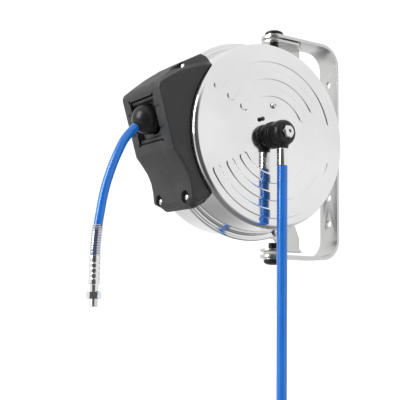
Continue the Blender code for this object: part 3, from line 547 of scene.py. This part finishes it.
def hoses():
    down = Vector((INLET_X, AXIS.y, 0.0))
    lengths = 16
    line = [Vector((INLET_X, AXIS.y, INLET_TOP + (INLET_LOW - INLET_TOP) * k / lengths))
            for k in range(lengths + 1)]
    inlet = hose("inlet_hose_tube", line, INLET_HOSE_R, "inlet_hose")
    low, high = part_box("inlet_end_ferrule")
    crimp = turned("inlet_end_crimp", crimped(low.z, high.z, (high.x - low.x) / 2, 3.0 * MM), "Z", down,
                   "inlet_end_ferrule")
    low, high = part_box("inlet_end_fitting")
    outline = threaded(low.z, high.z - 12.0 * MM, 6.4 * MM, 1.2 * MM, 3.0 * MM)
    body = lathe(rounded(outline, 0.2 * MM), "Z", down)
    neck = lathe(ring(3.0 * MM, 5.2 * MM, high.z - 12.5 * MM, high.z), "Z", down)
    grip = nut(17.0 * MM, high.z - 12.6 * MM, high.z - 3.0 * MM, 4.0 * MM, down)
    end = piece("inlet_end_thread", worked(body, joins=[neck, grip]), "inlet_end_fitting")

    path = outlet_path()
    outlet = hose("outlet_hose_tube", path, HOSE_R, "outlet_hose")
    coil = []
    start = next(k for k, point in enumerate(path) if point.z < GUARD_FROM_Z)
    track = smooth_path(path[start - 1:], 400)
    run = sum((b - a).length for a, b in zip(track, track[1:]))
    turns = run / COIL_PITCH
    for k, here in enumerate(track):
        along = (track[min(k + 1, len(track) - 1)] - track[max(k - 1, 0)]).normalized()
        side = Vector((1.0, 0.0, 0.0))
        other = along.cross(side)
        t = math.tau * turns * k / (len(track) - 1)
        coil.append(here + (side * math.cos(t) + other * math.sin(t)) * (HOSE_R + COIL_WIRE + 0.05 * MM))
    guard = piece("spring_guard_coil", wire(coil, COIL_WIRE), "spring_guard")
    spot = Vector((0.0, path[-1].y, 0.0))
    low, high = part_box("outlet_ferrule")
    crimp = turned("outlet_crimp", crimped(low.z, high.z, (high.x - low.x) / 2, 2.5 * MM), "Z", spot,
                   "outlet_ferrule")
    low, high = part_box("outlet_fitting")
    outline = threaded(low.z, high.z - 14.7 * MM, 4.85 * MM, 0.95 * MM, 2.5 * MM)
    body = lathe(rounded(outline, 0.15 * MM), "Z", spot)
    neck = lathe(ring(2.5 * MM, 4.6 * MM, high.z - 15.2 * MM, high.z), "Z", spot)
    grip = nut(14.0 * MM, high.z - 14.7 * MM, high.z - 6.7 * MM, 3.5 * MM, spot)
    end = piece("outlet_thread", worked(body, joins=[neck, grip]), "outlet_fitting")


hoses()


# ---------------------------------------------------------------- casing

FACE_X = 50.2 * MM
REAR_X = -62.0 * MM
SEAM_R = 120.0 * MM
SHEET = 1.3 * MM
BORE = 8.3 * MM
RIBS = ((86.5 * MM, 58.7, 73.3), (66.2 * MM, 57.3, 56.9), (45.9 * MM, 55.1, 58.6))
RIB_WIDE = 10.5 * MM
RIB_HIGH = 1.0 * MM
RIB_SLOPE = 1.9 * MM
OPENING = [(AXIS.y - 240 * MM, -42.3 * MM), (AXIS.y - 92.0 * MM, -42.3 * MM),
           (AXIS.y - 92.0 * MM, 54.2 * MM), (AXIS.y - 240 * MM, 54.2 * MM)]


def rib_height(radius, turn):
    """How far a pressed rib stands out at a place on the front face."""
    around = math.remainder(turn, math.tau)
    from_vertical = min(abs(around), math.pi - abs(around))
    best = -1.0
    for inner, *ends in RIBS:
        middle = inner + RIB_WIDE / 2
        past = (from_vertical - math.radians(ends[0] if around > 0 else ends[1])) * middle
        off = math.hypot(radius - middle, past) if past > 0 else abs(radius - middle)
        best = max(best, (RIB_WIDE / 2 - off) / RIB_SLOPE)
    t = min(max(best + 0.5, 0.0), 1.0)
    return RIB_HIGH * t * t * (3 - 2 * t)


def front_skirt():
    """(radius, X) pairs from the flat face over its edge to the seam flange, then back inside."""
    centre = (102.3 * MM, FACE_X - 6.7 * MM)
    edge = arc(centre, 6.7 * MM, 84, 0, 12)
    outer = list(edge)
    outer += in_mm([(109.5, 36.0), (110.6, 24.0), (111.7, 11.0), (112.3, 5.0)])
    outer += arc((115.2 * MM, 4.6 * MM), 2.5 * MM, 175, 268, 6)
    outer += [(116.4 * MM, 2.1 * MM), (117.6 * MM, 2.7 * MM), (119.0 * MM, 2.5 * MM)]
    outer += [(SEAM_R, 1.5 * MM), (SEAM_R, GAP / 2)]
    inner = [(112.0 * MM, GAP / 2), (111.0 * MM, 6.0 * MM), (108.0 * MM, 43.0 * MM)]
    inner += arc(centre, 6.7 * MM - SHEET, 0, 84, 6)
    return outer + inner


def front_cover():
    """The front dish: its face is a fine grid so that the pressed ribs are real, soft-edged shapes."""
    sides = 480
    radii = [BORE, 12 * MM, 20 * MM, 30 * MM, 40 * MM]
    radii += [44.6 * MM + 0.42 * MM * k for k in range(128)]
    radii += [99.5 * MM, 101.5 * MM]
    points = []
    rows = []

    def row(radius, level):
        rows.append(list(range(len(points), len(points) + sides)))
        for k in range(sides):
            t = math.tau * k / sides
            height = level if level is not None else FACE_X + rib_height(radius, t)
            points.append(AXIS + Vector((height - AXIS.x, -radius * math.sin(t), radius * math.cos(t))))

    for radius in radii:
        row(radius, None)
    for radius, level in front_skirt():
        row(radius, level)
    row(100.0 * MM, FACE_X - SHEET)
    row(BORE, FACE_X - SHEET)
    faces = []
    for low, high in zip(rows, rows[1:] + rows[:1]):
        for k in range(sides):
            after = (k + 1) % sides
            faces.append([low[k], low[after], high[after], high[k]])
    mesh = worked(mesh_of(points, faces), cuts=[prism(OPENING, "X", -1 * MM, 33.3 * MM)])
    piece("front_cover_shell", mesh, "front_cover", angle=38.0)


def rear_cover():
    centre = (REAR_SKIRT - 9.5 * MM, REAR_X + 9.5 * MM)
    outer = [(BORE, REAR_X), (19.0 * MM, REAR_X), (20.5 * MM, REAR_X + 0.8 * MM)]
    outer += [(24.5 * MM, REAR_X + 0.8 * MM), (26.0 * MM, REAR_X), (90.0 * MM, REAR_X)]
    outer += arc(centre, 9.5 * MM, 272, 360, 14)
    outer += in_mm([(109.9, -40.0), (111.0, -25.0), (112.0, -11.0), (112.5, -5.0)])
    outer += arc((115.2 * MM, -4.6 * MM), 2.5 * MM, 185, 92, 6)
    outer += [(116.4 * MM, -2.1 * MM), (117.6 * MM, -2.7 * MM), (119.0 * MM, -2.5 * MM)]
    outer += [(SEAM_R, -1.5 * MM), (SEAM_R, -GAP / 2)]
    inner = [(112.0 * MM, -GAP / 2), (111.0 * MM, -6.0 * MM), (108.0 * MM, -50.0 * MM)]
    inner += arc(centre, 9.5 * MM - SHEET, 360, 272, 8)
    inner += [(BORE, REAR_X + SHEET + 0.8 * MM)]
    mesh = worked(lathe(outer + inner, "X", Vector((0.0, AXIS.y, AXIS.z)), 360),
                  cuts=[prism(OPENING, "X", -33.3 * MM, 1 * MM)])
    piece("rear_cover_shell", mesh, "rear_cover", angle=38.0)


REAR_SKIRT = 109.3 * MM
front_cover()
rear_cover()


# ---------------------------------------------------------------- wall strap, brackets and pivots

WIDE = STRAP_HIGH.x
THICK = 4.0 * MM
BEND = 27.0 * MM
HALF = STRAP_HIGH.z
WALL_HOLES = (90.8 * MM, 57.3 * MM, -57.3 * MM, -90.8 * MM)


def wall_strap():
    inner = BEND - THICK
    end = PIVOT.y - 2 * WIDE
    outline = [(end, HALF)] + arc((-BEND, HALF - BEND), BEND, 90, 0, 24)
    outline += arc((-BEND, BEND - HALF), BEND, 0, -90, 24) + [(end, -HALF), (end, THICK - HALF)]
    outline += arc((-BEND, BEND - HALF), inner, -90, 0, 24) + arc((-BEND, HALF - BEND), inner, 0, 90, 24)
    outline += [(end, HALF - THICK)]
    plan = arc((0.0, PIVOT.y), WIDE, 180, 360, 40) + [(WIDE, 5 * MM), (-WIDE, 5 * MM)]
    holes = [lathe(rod(4.5 * MM, -2 * THICK, THICK), "Y", Vector((0.0, 0.0, z)), 40) for z in WALL_HOLES]
    holes += [lathe(rod(5.3 * MM, -2 * THICK, 2 * THICK), "Z", Vector((0.0, PIVOT.y, z)), 40)
              for z in (HALF, -HALF)]
    mesh = worked(prism(outline, "X", -2 * WIDE, 2 * WIDE), keeps=[prism(plan, "Z", -2 * HALF, 2 * HALF)],
                  cuts=holes, bevel=0.45 * MM, angle=40.0)
    piece("wall_strap_bar", mesh, "wall_strap")


def bracket(name, side):
    low = 128.0 * MM
    high = 131.0 * MM
    depth = AXIS.y - PIVOT.y
    edge = 43.2 * MM
    at = Vector((0.0, PIVOT.y, AXIS.z))
    leg = [(edge, high - 0.4 * MM), (9.0 * MM, high - 0.4 * MM), (9.0 * MM, 121.0 * MM)]
    turn = math.radians(20.9)
    lobe = (depth + 116.6 * MM * math.sin(turn), 116.6 * MM * math.cos(turn))
    leg += arc(lobe, 6.4 * MM, 75, 175, 12)
    inner = 113.5 * MM
    leg += [(depth + inner * math.sin(math.radians(17.6 + k)), inner * math.cos(math.radians(17.6 + k)))
            for k in range(0, 23)]
    leg += [(38.8 * MM, 103.9 * MM), (edge, 112.3 * MM)]
    leg = [(a, side * b) for a, b in leg]
    plate = prism(leg, "X", -5.2 * MM, -2.2 * MM, at)
    tab = arc((0.0, 0.0), 15.9 * MM, 180, 360, 30)
    tab += [(15.9 * MM, 28.0 * MM), (2.0 * MM, edge), (-4.7 * MM, edge), (-4.7 * MM, 16.0 * MM),
            (-15.9 * MM, 8.0 * MM)]
    levels = sorted((side * low, side * high))
    holes = [lathe(rod(3.3 * MM, side * high - 9 * MM, side * high + 9 * MM), "Z", at, 32)]
    for k in (1, 2, 3, 4):
        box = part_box(f"seam_screw_{k}")
        middle = (box[0] + box[1]) / 2
        if middle.z * side > 0:
            holes.append(lathe(rod(2.3 * MM, -20 * MM, 20 * MM), "X", Vector((0.0, middle.y, middle.z)), 24))
    mesh = worked(plate, joins=[prism(tab, "Z", *levels, at)], cuts=holes, bevel=0.35 * MM, angle=40.0)
    piece(name + "_plate", mesh, name)


def pivots(name, side):
    """The washer, cap, bush and nut at one arm, at their CAD levels."""
    at = Vector((0.0, PIVOT.y, 0.0))

    def levels(node):
        low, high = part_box(node)
        return sorted((low.z, high.z), key=abs)

    near, far = levels(f"{name}_pivot_washer")
    turned(f"{name}_washer", ring(3.2 * MM, 12.6 * MM, near, far), "Z", at, f"{name}_pivot_washer", 0.35 * MM,
           look=LOOKS["chrome"])
    near, far = levels(f"{name}_pivot_cap")
    dome = [(0.0, far), (3.0 * MM, far - side * 0.1 * MM), (6.0 * MM, far - side * 0.5 * MM),
            (8.6 * MM, far - side * 1.2 * MM), (10.6 * MM, far - side * 2.3 * MM),
            (11.6 * MM, far - side * 3.8 * MM), (11.75 * MM, near), (7.0 * MM, near),
            (7.0 * MM, far - side * 2.2 * MM), (0.0, far - side * 2.2 * MM)]
    turned(f"{name}_cap", dome, "Z", at, f"{name}_pivot_cap", 0.8 * MM, look=GLOSS)
    near, far = levels(f"{name}_pivot_nut")
    piece(f"{name}_nut", nut(10.0 * MM, min(near, far), max(near, far), 3.3 * MM, at), f"{name}_pivot_nut")
    near, far = levels(f"{name}_pivot_bush")
    arm = side * (HALF - THICK) - side * GAP
    turned(f"{name}_bush", [(3.15 * MM, near), (12.0 * MM, near), (12.0 * MM, arm), (5.0 * MM, arm),
                            (5.0 * MM, far), (3.15 * MM, far)], "Z", at, f"{name}_pivot_bush", 0.3 * MM)


wall_strap()
for word, up in (("upper", 1), ("lower", -1)):
    bracket(f"{word}_swivel_bracket", up)
    pivots(word, up)


def screws():
    for k in (1, 2, 3, 4):
        low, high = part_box(f"seam_screw_{k}")
        at = Vector((0.0, (low.y + high.y) / 2, (low.z + high.z) / 2))
        top = high.x
        head = top - 2.3 * MM
        outline = [(0.0, low.x), (1.6 * MM, low.x), (2.0 * MM, low.x + 0.5 * MM), (2.0 * MM, head),
                   (3.5 * MM, head), (3.5 * MM, head + 0.8 * MM), (3.0 * MM, head + 1.5 * MM),
                   (2.0 * MM, top - 0.15 * MM), (0.0, top)]
        turned(f"seam_screw_{k}_head", outline, "X", at, f"seam_screw_{k}", 0.25 * MM, 40,
               cuts=[prism(hexagon(2.4 * MM), "X", top - 1.3 * MM, top + MM, at)])
        low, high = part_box(f"seam_washer_{k}")
        turned(f"seam_washer_{k}_ring", ring(2.3 * MM, 3.7 * MM, low.x, high.x), "X", at, f"seam_washer_{k}",
               0.2 * MM, 40)
        low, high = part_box(f"guide_screw_{k}")
        at = Vector(((low.x + high.x) / 2, 0.0, (low.z + high.z) / 2))
        outline = [(0.0, low.y), (1.6 * MM, low.y + 0.15 * MM), (2.9 * MM, low.y + 0.8 * MM),
                   (3.8 * MM, low.y + 1.9 * MM), (3.8 * MM, low.y + 2.8 * MM), (2.0 * MM, low.y + 2.8 * MM),
                   (2.0 * MM, high.y), (0.0, high.y)]
        turned(f"guide_screw_{k}_head", outline, "Y", at, f"guide_screw_{k}", 0.25 * MM, 40,
               cuts=[prism(hexagon(2.5 * MM), "Y", low.y - MM, low.y + 1.5 * MM, at)])


screws()


def inlet():
    """The pawl pin's head, the collar, the turning elbow, its plug and the crimp on the inlet hose."""
    centre = Vector((0.0, AXIS.y, AXIS.z))
    low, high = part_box("pawl_pin")
    outline = [(0.0, low.x), (2.0 * MM, low.x), (2.0 * MM, high.x - 3.2 * MM), (4.0 * MM, high.x - 3.2 * MM),
               (4.0 * MM, high.x - 2.2 * MM), (3.4 * MM, high.x - 1.0 * MM), (2.2 * MM, high.x - 0.2 * MM),
               (0.0, high.x)]
    spot = Vector((0.0, PAWL_PIN.y, PAWL_PIN.z))
    slots = [prism([(-a, -b), (a, -b), (a, b), (-a, b)], "X", high.x - 1.6 * MM, high.x + MM, spot)
             for a, b in ((2.4 * MM, 0.55 * MM), (0.55 * MM, 2.4 * MM))]
    turned("pawl_pin_head", outline, "X", spot, "pawl_pin", 0.3 * MM, 40, cuts=slots)
    collar = [(8.3, 50.5), (15.8, 50.5), (15.8, 53.2), (14.9, 53.6), (14.5, 54.2), (14.5, 57.2), (13.6, 58.6),
              (8.3, 58.6)]
    turned("inlet_collar_ring", in_mm(collar), "X", centre, "inlet_collar", 0.5 * MM, look=GLOSS)
    body = [(0.0, 59.0), (13.0, 59.0), (13.2, 60.8), (14.7, 61.4), (15.1, 62.4), (15.2, 66.0), (15.2, 69.0),
            (14.9, 71.0), (14.2, 73.0), (12.9, 74.8), (11.2, 75.9), (9.5, 76.4), (0.0, 76.4)]
    neck = [(0.0, -17.8), (6.4, -17.8), (6.9, -17.0), (7.1, -15.0), (7.6, -13.6), (7.7, 0.0), (0.0, 0.0)]
    turned("inlet_elbow_body", in_mm(body), "X", centre, "inlet_elbow", 0.5 * MM, 80, look=GLOSS,
           joins=[lathe(rounded(in_mm(neck), 0.5 * MM), "Z", Vector((INLET_X, AXIS.y, AXIS.z)), 64)])
    low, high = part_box("elbow_plug")
    corner = 13.6 * MM / math.sqrt(3.0)
    dome = [(0.0, low.x), (corner * 1.01, low.x), (corner * 1.01, low.x + 1.6 * MM),
            (5.9 * MM, high.x - 0.3 * MM), (5.2 * MM, high.x), (0.0, high.x)]
    mesh = worked(prism(hexagon(13.6 * MM), "X", low.x - MM, high.x + MM, centre),
                  keeps=[lathe(dome, "X", centre, 96)], bevel=0.3 * MM, angle=30.0)
    mesh = worked(mesh, cuts=[prism(hexagon(5.0 * MM), "X", high.x - 1.8 * MM, high.x + MM, centre)])
    piece("elbow_plug_hex", mesh, "elbow_plug")
    low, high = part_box("inlet_ferrule")
    under = Vector((INLET_X, AXIS.y, 0.0))
    crimp = [(3.0 * MM, high.z), (6.2 * MM, high.z), (6.4 * MM, high.z - 0.8 * MM),
             (6.4 * MM, low.z + 0.8 * MM), (6.1 * MM, low.z), (3.0 * MM, low.z)]
    turned("inlet_crimp", crimp, "Z", under, "inlet_ferrule", 0.4 * MM)
    low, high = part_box("shaft_nut")
    piece("shaft_nut_hex", nut(24.0 * MM, low.x, high.x, 8.3 * MM, centre, "X"), "shaft_nut")
    low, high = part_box("drum_shaft")
    shaft = [(4.0 * MM, low.x), (8.0 * MM, low.x), (8.0 * MM, high.x), (4.0 * MM, high.x)]
    turned("drum_shaft_tube", shaft, "X", centre, "drum_shaft", 0.6 * MM)
    spot = centre + Vector((0.0, -17.9, 16.8)) * MM
    set_screw = [(0.0, 49.9), (1.5, 49.9), (1.5, 52.2), (2.5, 52.2), (2.5, 54.2), (1.8, 54.9), (0.0, 54.9)]
    mesh = lathe(rounded(in_mm(set_screw), 0.25 * MM), "X", Vector((0.0, spot.y, spot.z)), 32)
    piece("face_set_screw", mesh, "front_cover", LOOKS["steel_dark"], stands=False)


inlet()


# ---------------------------------------------------------------- hose guide

# (Y, Z) outlines in millimetres at the guide's flanks and along its crown, point for point
SIDE_LINE = [(-284.6, 38.0), (-264.2, -27.5), (-257.0, -35.5), (-249.0, -45.5), (-243.6, -56.0),
             (-241.0, -66.0), (-239.0, -80.0), (-229.0, -83.0), (-214.0, -74.0), (-196.0, -60.0),
             (-196.0, 60.0), (-214.0, 74.0), (-228.0, 71.0), (-243.0, 65.8), (-257.6, 60.0),
             (-271.0, 52.0), (-283.0, 43.5)]
CROWN_LINE = [(-285.2, 38.0), (-264.9, -27.5), (-257.5, -35.5), (-249.8, -45.5), (-244.4, -56.0),
              (-241.8, -66.0), (-239.5, -82.5), (-229.0, -90.0), (-214.0, -82.0), (-196.0, -60.0),
              (-196.0, 60.0), (-214.0, 86.5), (-222.0, 88.6), (-245.5, 75.0), (-258.7, 66.0),
              (-271.5, 55.3), (-283.8, 44.6)]


def guide_housing():
    stations = [(-42.0, 0.0), (-34.0, 0.35), (-29.0, 1.0), (29.0, 1.0), (34.0, 0.35), (42.0, 0.0)]
    points = []
    for across, share in stations:
        for low, high in zip(SIDE_LINE, CROWN_LINE):
            a = low[0] + (high[0] - low[0]) * share
            b = low[1] + (high[1] - low[1]) * share
            points.append(Vector((across, a, b)) * MM)
    count = len(SIDE_LINE)
    last = count * (len(stations) - 1)
    faces = [list(range(count)), list(range(last, last + count))]
    for row in range(len(stations) - 1):
        for k in range(count):
            after = (k + 1) % count
            here, above = row * count, (row + 1) * count
            faces.append([here + k, here + after, above + after, above + k])
    body = mesh_of(points, faces)
    centre = Vector((0.0, AXIS.y, AXIS.z))
    case = [(0.0, -67.0), (109.8, -67.0), (109.8, -52.0), (113.2, -2.7), (120.5, -2.7), (120.5, 2.7),
            (113.2, 2.7), (109.5, 44.0), (109.5, 60.0), (0.0, 60.0)]
    inner = in_mm([(-266.0, -21.0), (-250.0, -41.0), (-238.0, -58.0), (-190.0, -58.0), (-190.0, 60.0),
                   (-236.0, 60.0), (-262.0, 50.0), (-279.0, 38.0)])
    cuts = [lathe(in_mm(case), "X", centre, 160), prism(inner, "X", -39.0 * MM, 39.0 * MM)]
    room = 31.3 * MM
    recess = [(-room, 2.9 * MM), (room, 2.9 * MM), (room, 18 * MM), (-room, 18 * MM)]
    cuts.append(prism(recess, "Z", -room, room, turn=MOUTH_TURN))
    half = 25.5 * MM
    opening = [(-half, -14 * MM), (half, -14 * MM), (half, 5 * MM), (-half, 5 * MM)]
    cuts.append(prism(opening, "Z", -half, half, turn=MOUTH_TURN))
    for across in (-half, half):
        for height in (-half, half):
            cuts.append(lathe(rod(1.9 * MM, -14 * MM, 1.5 * MM), "Y", Vector((across, 0.0, height)), 24))
            cuts[-1].transform(MOUTH_TURN)
    for side in (-1, 1):
        for height in (11.5 * MM, -12.0 * MM):
            slot = [(side * 20.0 * MM, height - 1.1 * MM)]
            slot += arc((side * 33.0 * MM, height), 1.5 * MM, -90, 90, 8) if side > 0 else []
            slot += [(side * 20.0 * MM, height + 1.1 * MM)]
            if side < 0:
                slot += arc((side * 33.0 * MM, height), 1.5 * MM, 90, 270, 8)
            cuts.append(prism(slot, "Y", -14 * MM, 1.2 * MM, turn=MOUTH_TURN))
    for k in (1, 2, 3, 4):
        low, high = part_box(f"guide_screw_{k}")
        spot = Vector(((low.x + high.x) / 2, 0.0, (low.z + high.z) / 2))
        seat = -245.2 * MM if spot.z > 0 else -236.0 * MM
        cuts.append(lathe(rod(6.2 * MM if spot.z > 0 else 7.4 * MM, -300 * MM, seat), "Y", spot, 40))
        cuts.append(lathe(rod(2.3 * MM, -300 * MM, -227.5 * MM), "Y", spot, 24))
    mesh = worked(body, cuts=cuts, bevel_first=2.2 * MM, angle=24.0, segments=4)
    piece("guide_housing_shell", mesh, "guide_housing", angle=26.0)


def roller_web():
    """The grey corner web behind the rollers, with the round hole the hose runs through."""
    wide = 25.2 * MM
    web = prism([(-wide, -wide), (wide, -wide), (wide, wide), (-wide, wide)], "Y", 9.0 * MM, 9.7 * MM)
    mesh = worked(web, cuts=[lathe(rod(17.0 * MM, 5.0 * MM, 14.0 * MM), "Y", Vector(), 72)])
    mesh.transform(MOUTH_TURN)
    piece("roller_frame_web", mesh, "roller_frame", LOOKS["web_grey"], stands=False)


def rollers():
    for name in ("top_roller", "bottom_roller", "left_roller", "right_roller"):
        spot = MOUTH_TURN.inverted() @ Vector(joint[f"{name}_spin"]["pos_m"])
        axis = "X" if name in ("top_roller", "bottom_roller") else "Z"
        outline = in_mm([(0.0, -30.6), (1.2, -30.6), (1.2, -25.4), (2.7, -25.4), (3.0, -25.1), (3.0, 25.1),
                         (2.7, 25.4), (1.2, 25.4), (1.2, 30.6), (0.0, 30.6)])
        mesh = lathe(rounded(outline, 0.3 * MM), axis, spot, 36)
        mesh.transform(MOUTH_TURN)
        piece(f"{name}_tube", mesh, name)


def ball():
    """The stop ball with a small neck where the hose leaves it."""
    out = (Vector((0.0, OUTLET_ROUTE[0][0] * MM, OUTLET_ROUTE[0][1] * MM)) - BALL).normalized()
    outline = [(0.0, -BALL_R)]
    outline += [(BALL_R * math.sin(math.radians(t)), -BALL_R * math.cos(math.radians(t)))
                for t in range(6, 163, 4)]
    outline += [(5.9 * MM, BALL_R - 1.1 * MM), (5.7 * MM, BALL_R + 0.05 * MM), (0.0, BALL_R + 0.05 * MM)]
    mesh = lathe(outline, "Z", Vector(), 72)
    turn = Vector((0.0, 0.0, 1.0)).rotation_difference(out).to_matrix().to_4x4()
    mesh.transform(Matrix.Translation(BALL) @ turn)
    piece("stop_ball_round", mesh, "stop_ball", GLOSS)


guide_housing()
roller_web()
rollers()
ball()


# ---------------------------------------------------------------- floor, world and lights

FLOOR_Z = -0.62


FLOOR_HALF = 40.0
CAMERA_SEES = 1.15
DARK_SIDE = (0.77, -0.64, -0.10)
KEY_WATTS = 26.0
TOP_WATTS = 9.0


def studio():
    """A white surround, a pale floor and two soft panels.

    Reflections see a darker surround than the camera does: a soft dark patch at DARK_SIDE and a dim
    lower half. The floor and the top panel are kept out of reflections.
    """
    size = FLOOR_HALF
    corners = [(-size, -size, FLOOR_Z), (size, -size, FLOOR_Z), (size, size, FLOOR_Z), (-size, size, FLOOR_Z)]
    mesh = mesh_of(corners, [[0, 1, 2, 3]])
    floor = bpy.data.objects.new("floor", mesh)
    scene.collection.objects.link(floor)
    n = Nodes("floor_pale")
    n.join(n.colours(n.noise(3.0), (0.93, 0.93, 0.93), (0.90, 0.90, 0.90)), n.shader.inputs["Base Color"])
    n.set(Roughness=0.7, Specular_IOR_Level=0.1, Emission_Color=(1.0, 1.0, 1.0, 1.0), Emission_Strength=0.6)
    mesh.materials.append(n.data)
    floor.visible_glossy = False

    world = bpy.data.worlds.new("studio")
    scene.world = world
    world.use_nodes = True
    tree = world.node_tree
    back = tree.nodes["Background"]
    where = tree.nodes.new("ShaderNodeTexCoord").outputs["Generated"]
    toward = tree.nodes.new("ShaderNodeVectorMath")
    toward.operation = "DOT_PRODUCT"
    toward.inputs[1].default_value = Vector(DARK_SIDE).normalized()
    tree.links.new(where, toward.inputs[0])
    shade = tree.nodes.new("ShaderNodeMapRange")
    shade.interpolation_type = "SMOOTHSTEP"
    shade.inputs["From Min"].default_value = 0.62
    shade.inputs["From Max"].default_value = 0.88
    shade.inputs["To Min"].default_value = 0.92
    shade.inputs["To Max"].default_value = 0.10
    tree.links.new(toward.outputs["Value"], shade.inputs["Value"])
    seen = tree.nodes.new("ShaderNodeLightPath").outputs["Is Camera Ray"]
    strength = tree.nodes.new("ShaderNodeMix")
    tree.links.new(seen, strength.inputs["Factor"])
    apart = tree.nodes.new("ShaderNodeSeparateXYZ")
    tree.links.new(where, apart.inputs["Vector"])
    low = tree.nodes.new("ShaderNodeMapRange")
    low.interpolation_type = "SMOOTHSTEP"
    low.inputs["From Min"].default_value = -0.85
    low.inputs["From Max"].default_value = -0.30
    low.inputs["To Min"].default_value = 0.22
    low.inputs["To Max"].default_value = 1.0
    tree.links.new(apart.outputs["Z"], low.inputs["Value"])
    both = tree.nodes.new("ShaderNodeMath")
    both.operation = "MULTIPLY"
    tree.links.new(shade.outputs["Result"], both.inputs[0])
    tree.links.new(low.outputs["Result"], both.inputs[1])
    tree.links.new(both.outputs["Value"], strength.inputs["A"])
    strength.inputs["B"].default_value = CAMERA_SEES
    tree.links.new(strength.outputs["Result"], back.inputs["Strength"])
    back.inputs["Color"].default_value = (1.0, 1.0, 1.0, 1.0)

    def panel(name, at, aim, power, wide, high):
        light = bpy.data.lights.new(name, "AREA")
        light.energy = power
        light.shape = "RECTANGLE"
        light.size = wide
        light.size_y = high
        made = bpy.data.objects.new(name, light)
        scene.collection.objects.link(made)
        made.location = at
        made.rotation_euler = (Vector(aim) - Vector(at)).to_track_quat("-Z", "Y").to_euler()
        made.visible_glossy = name == "key"

    panel("key", (-0.15, -1.85, 0.65), (0.0, -0.2, 0.0), KEY_WATTS, 0.9, 1.2)
    panel("top", (0.2, -0.3, 1.8), (0.0, -0.2, 0.0), TOP_WATTS, 1.4, 1.4)
    scene.view_settings.view_transform = "Standard"


studio()
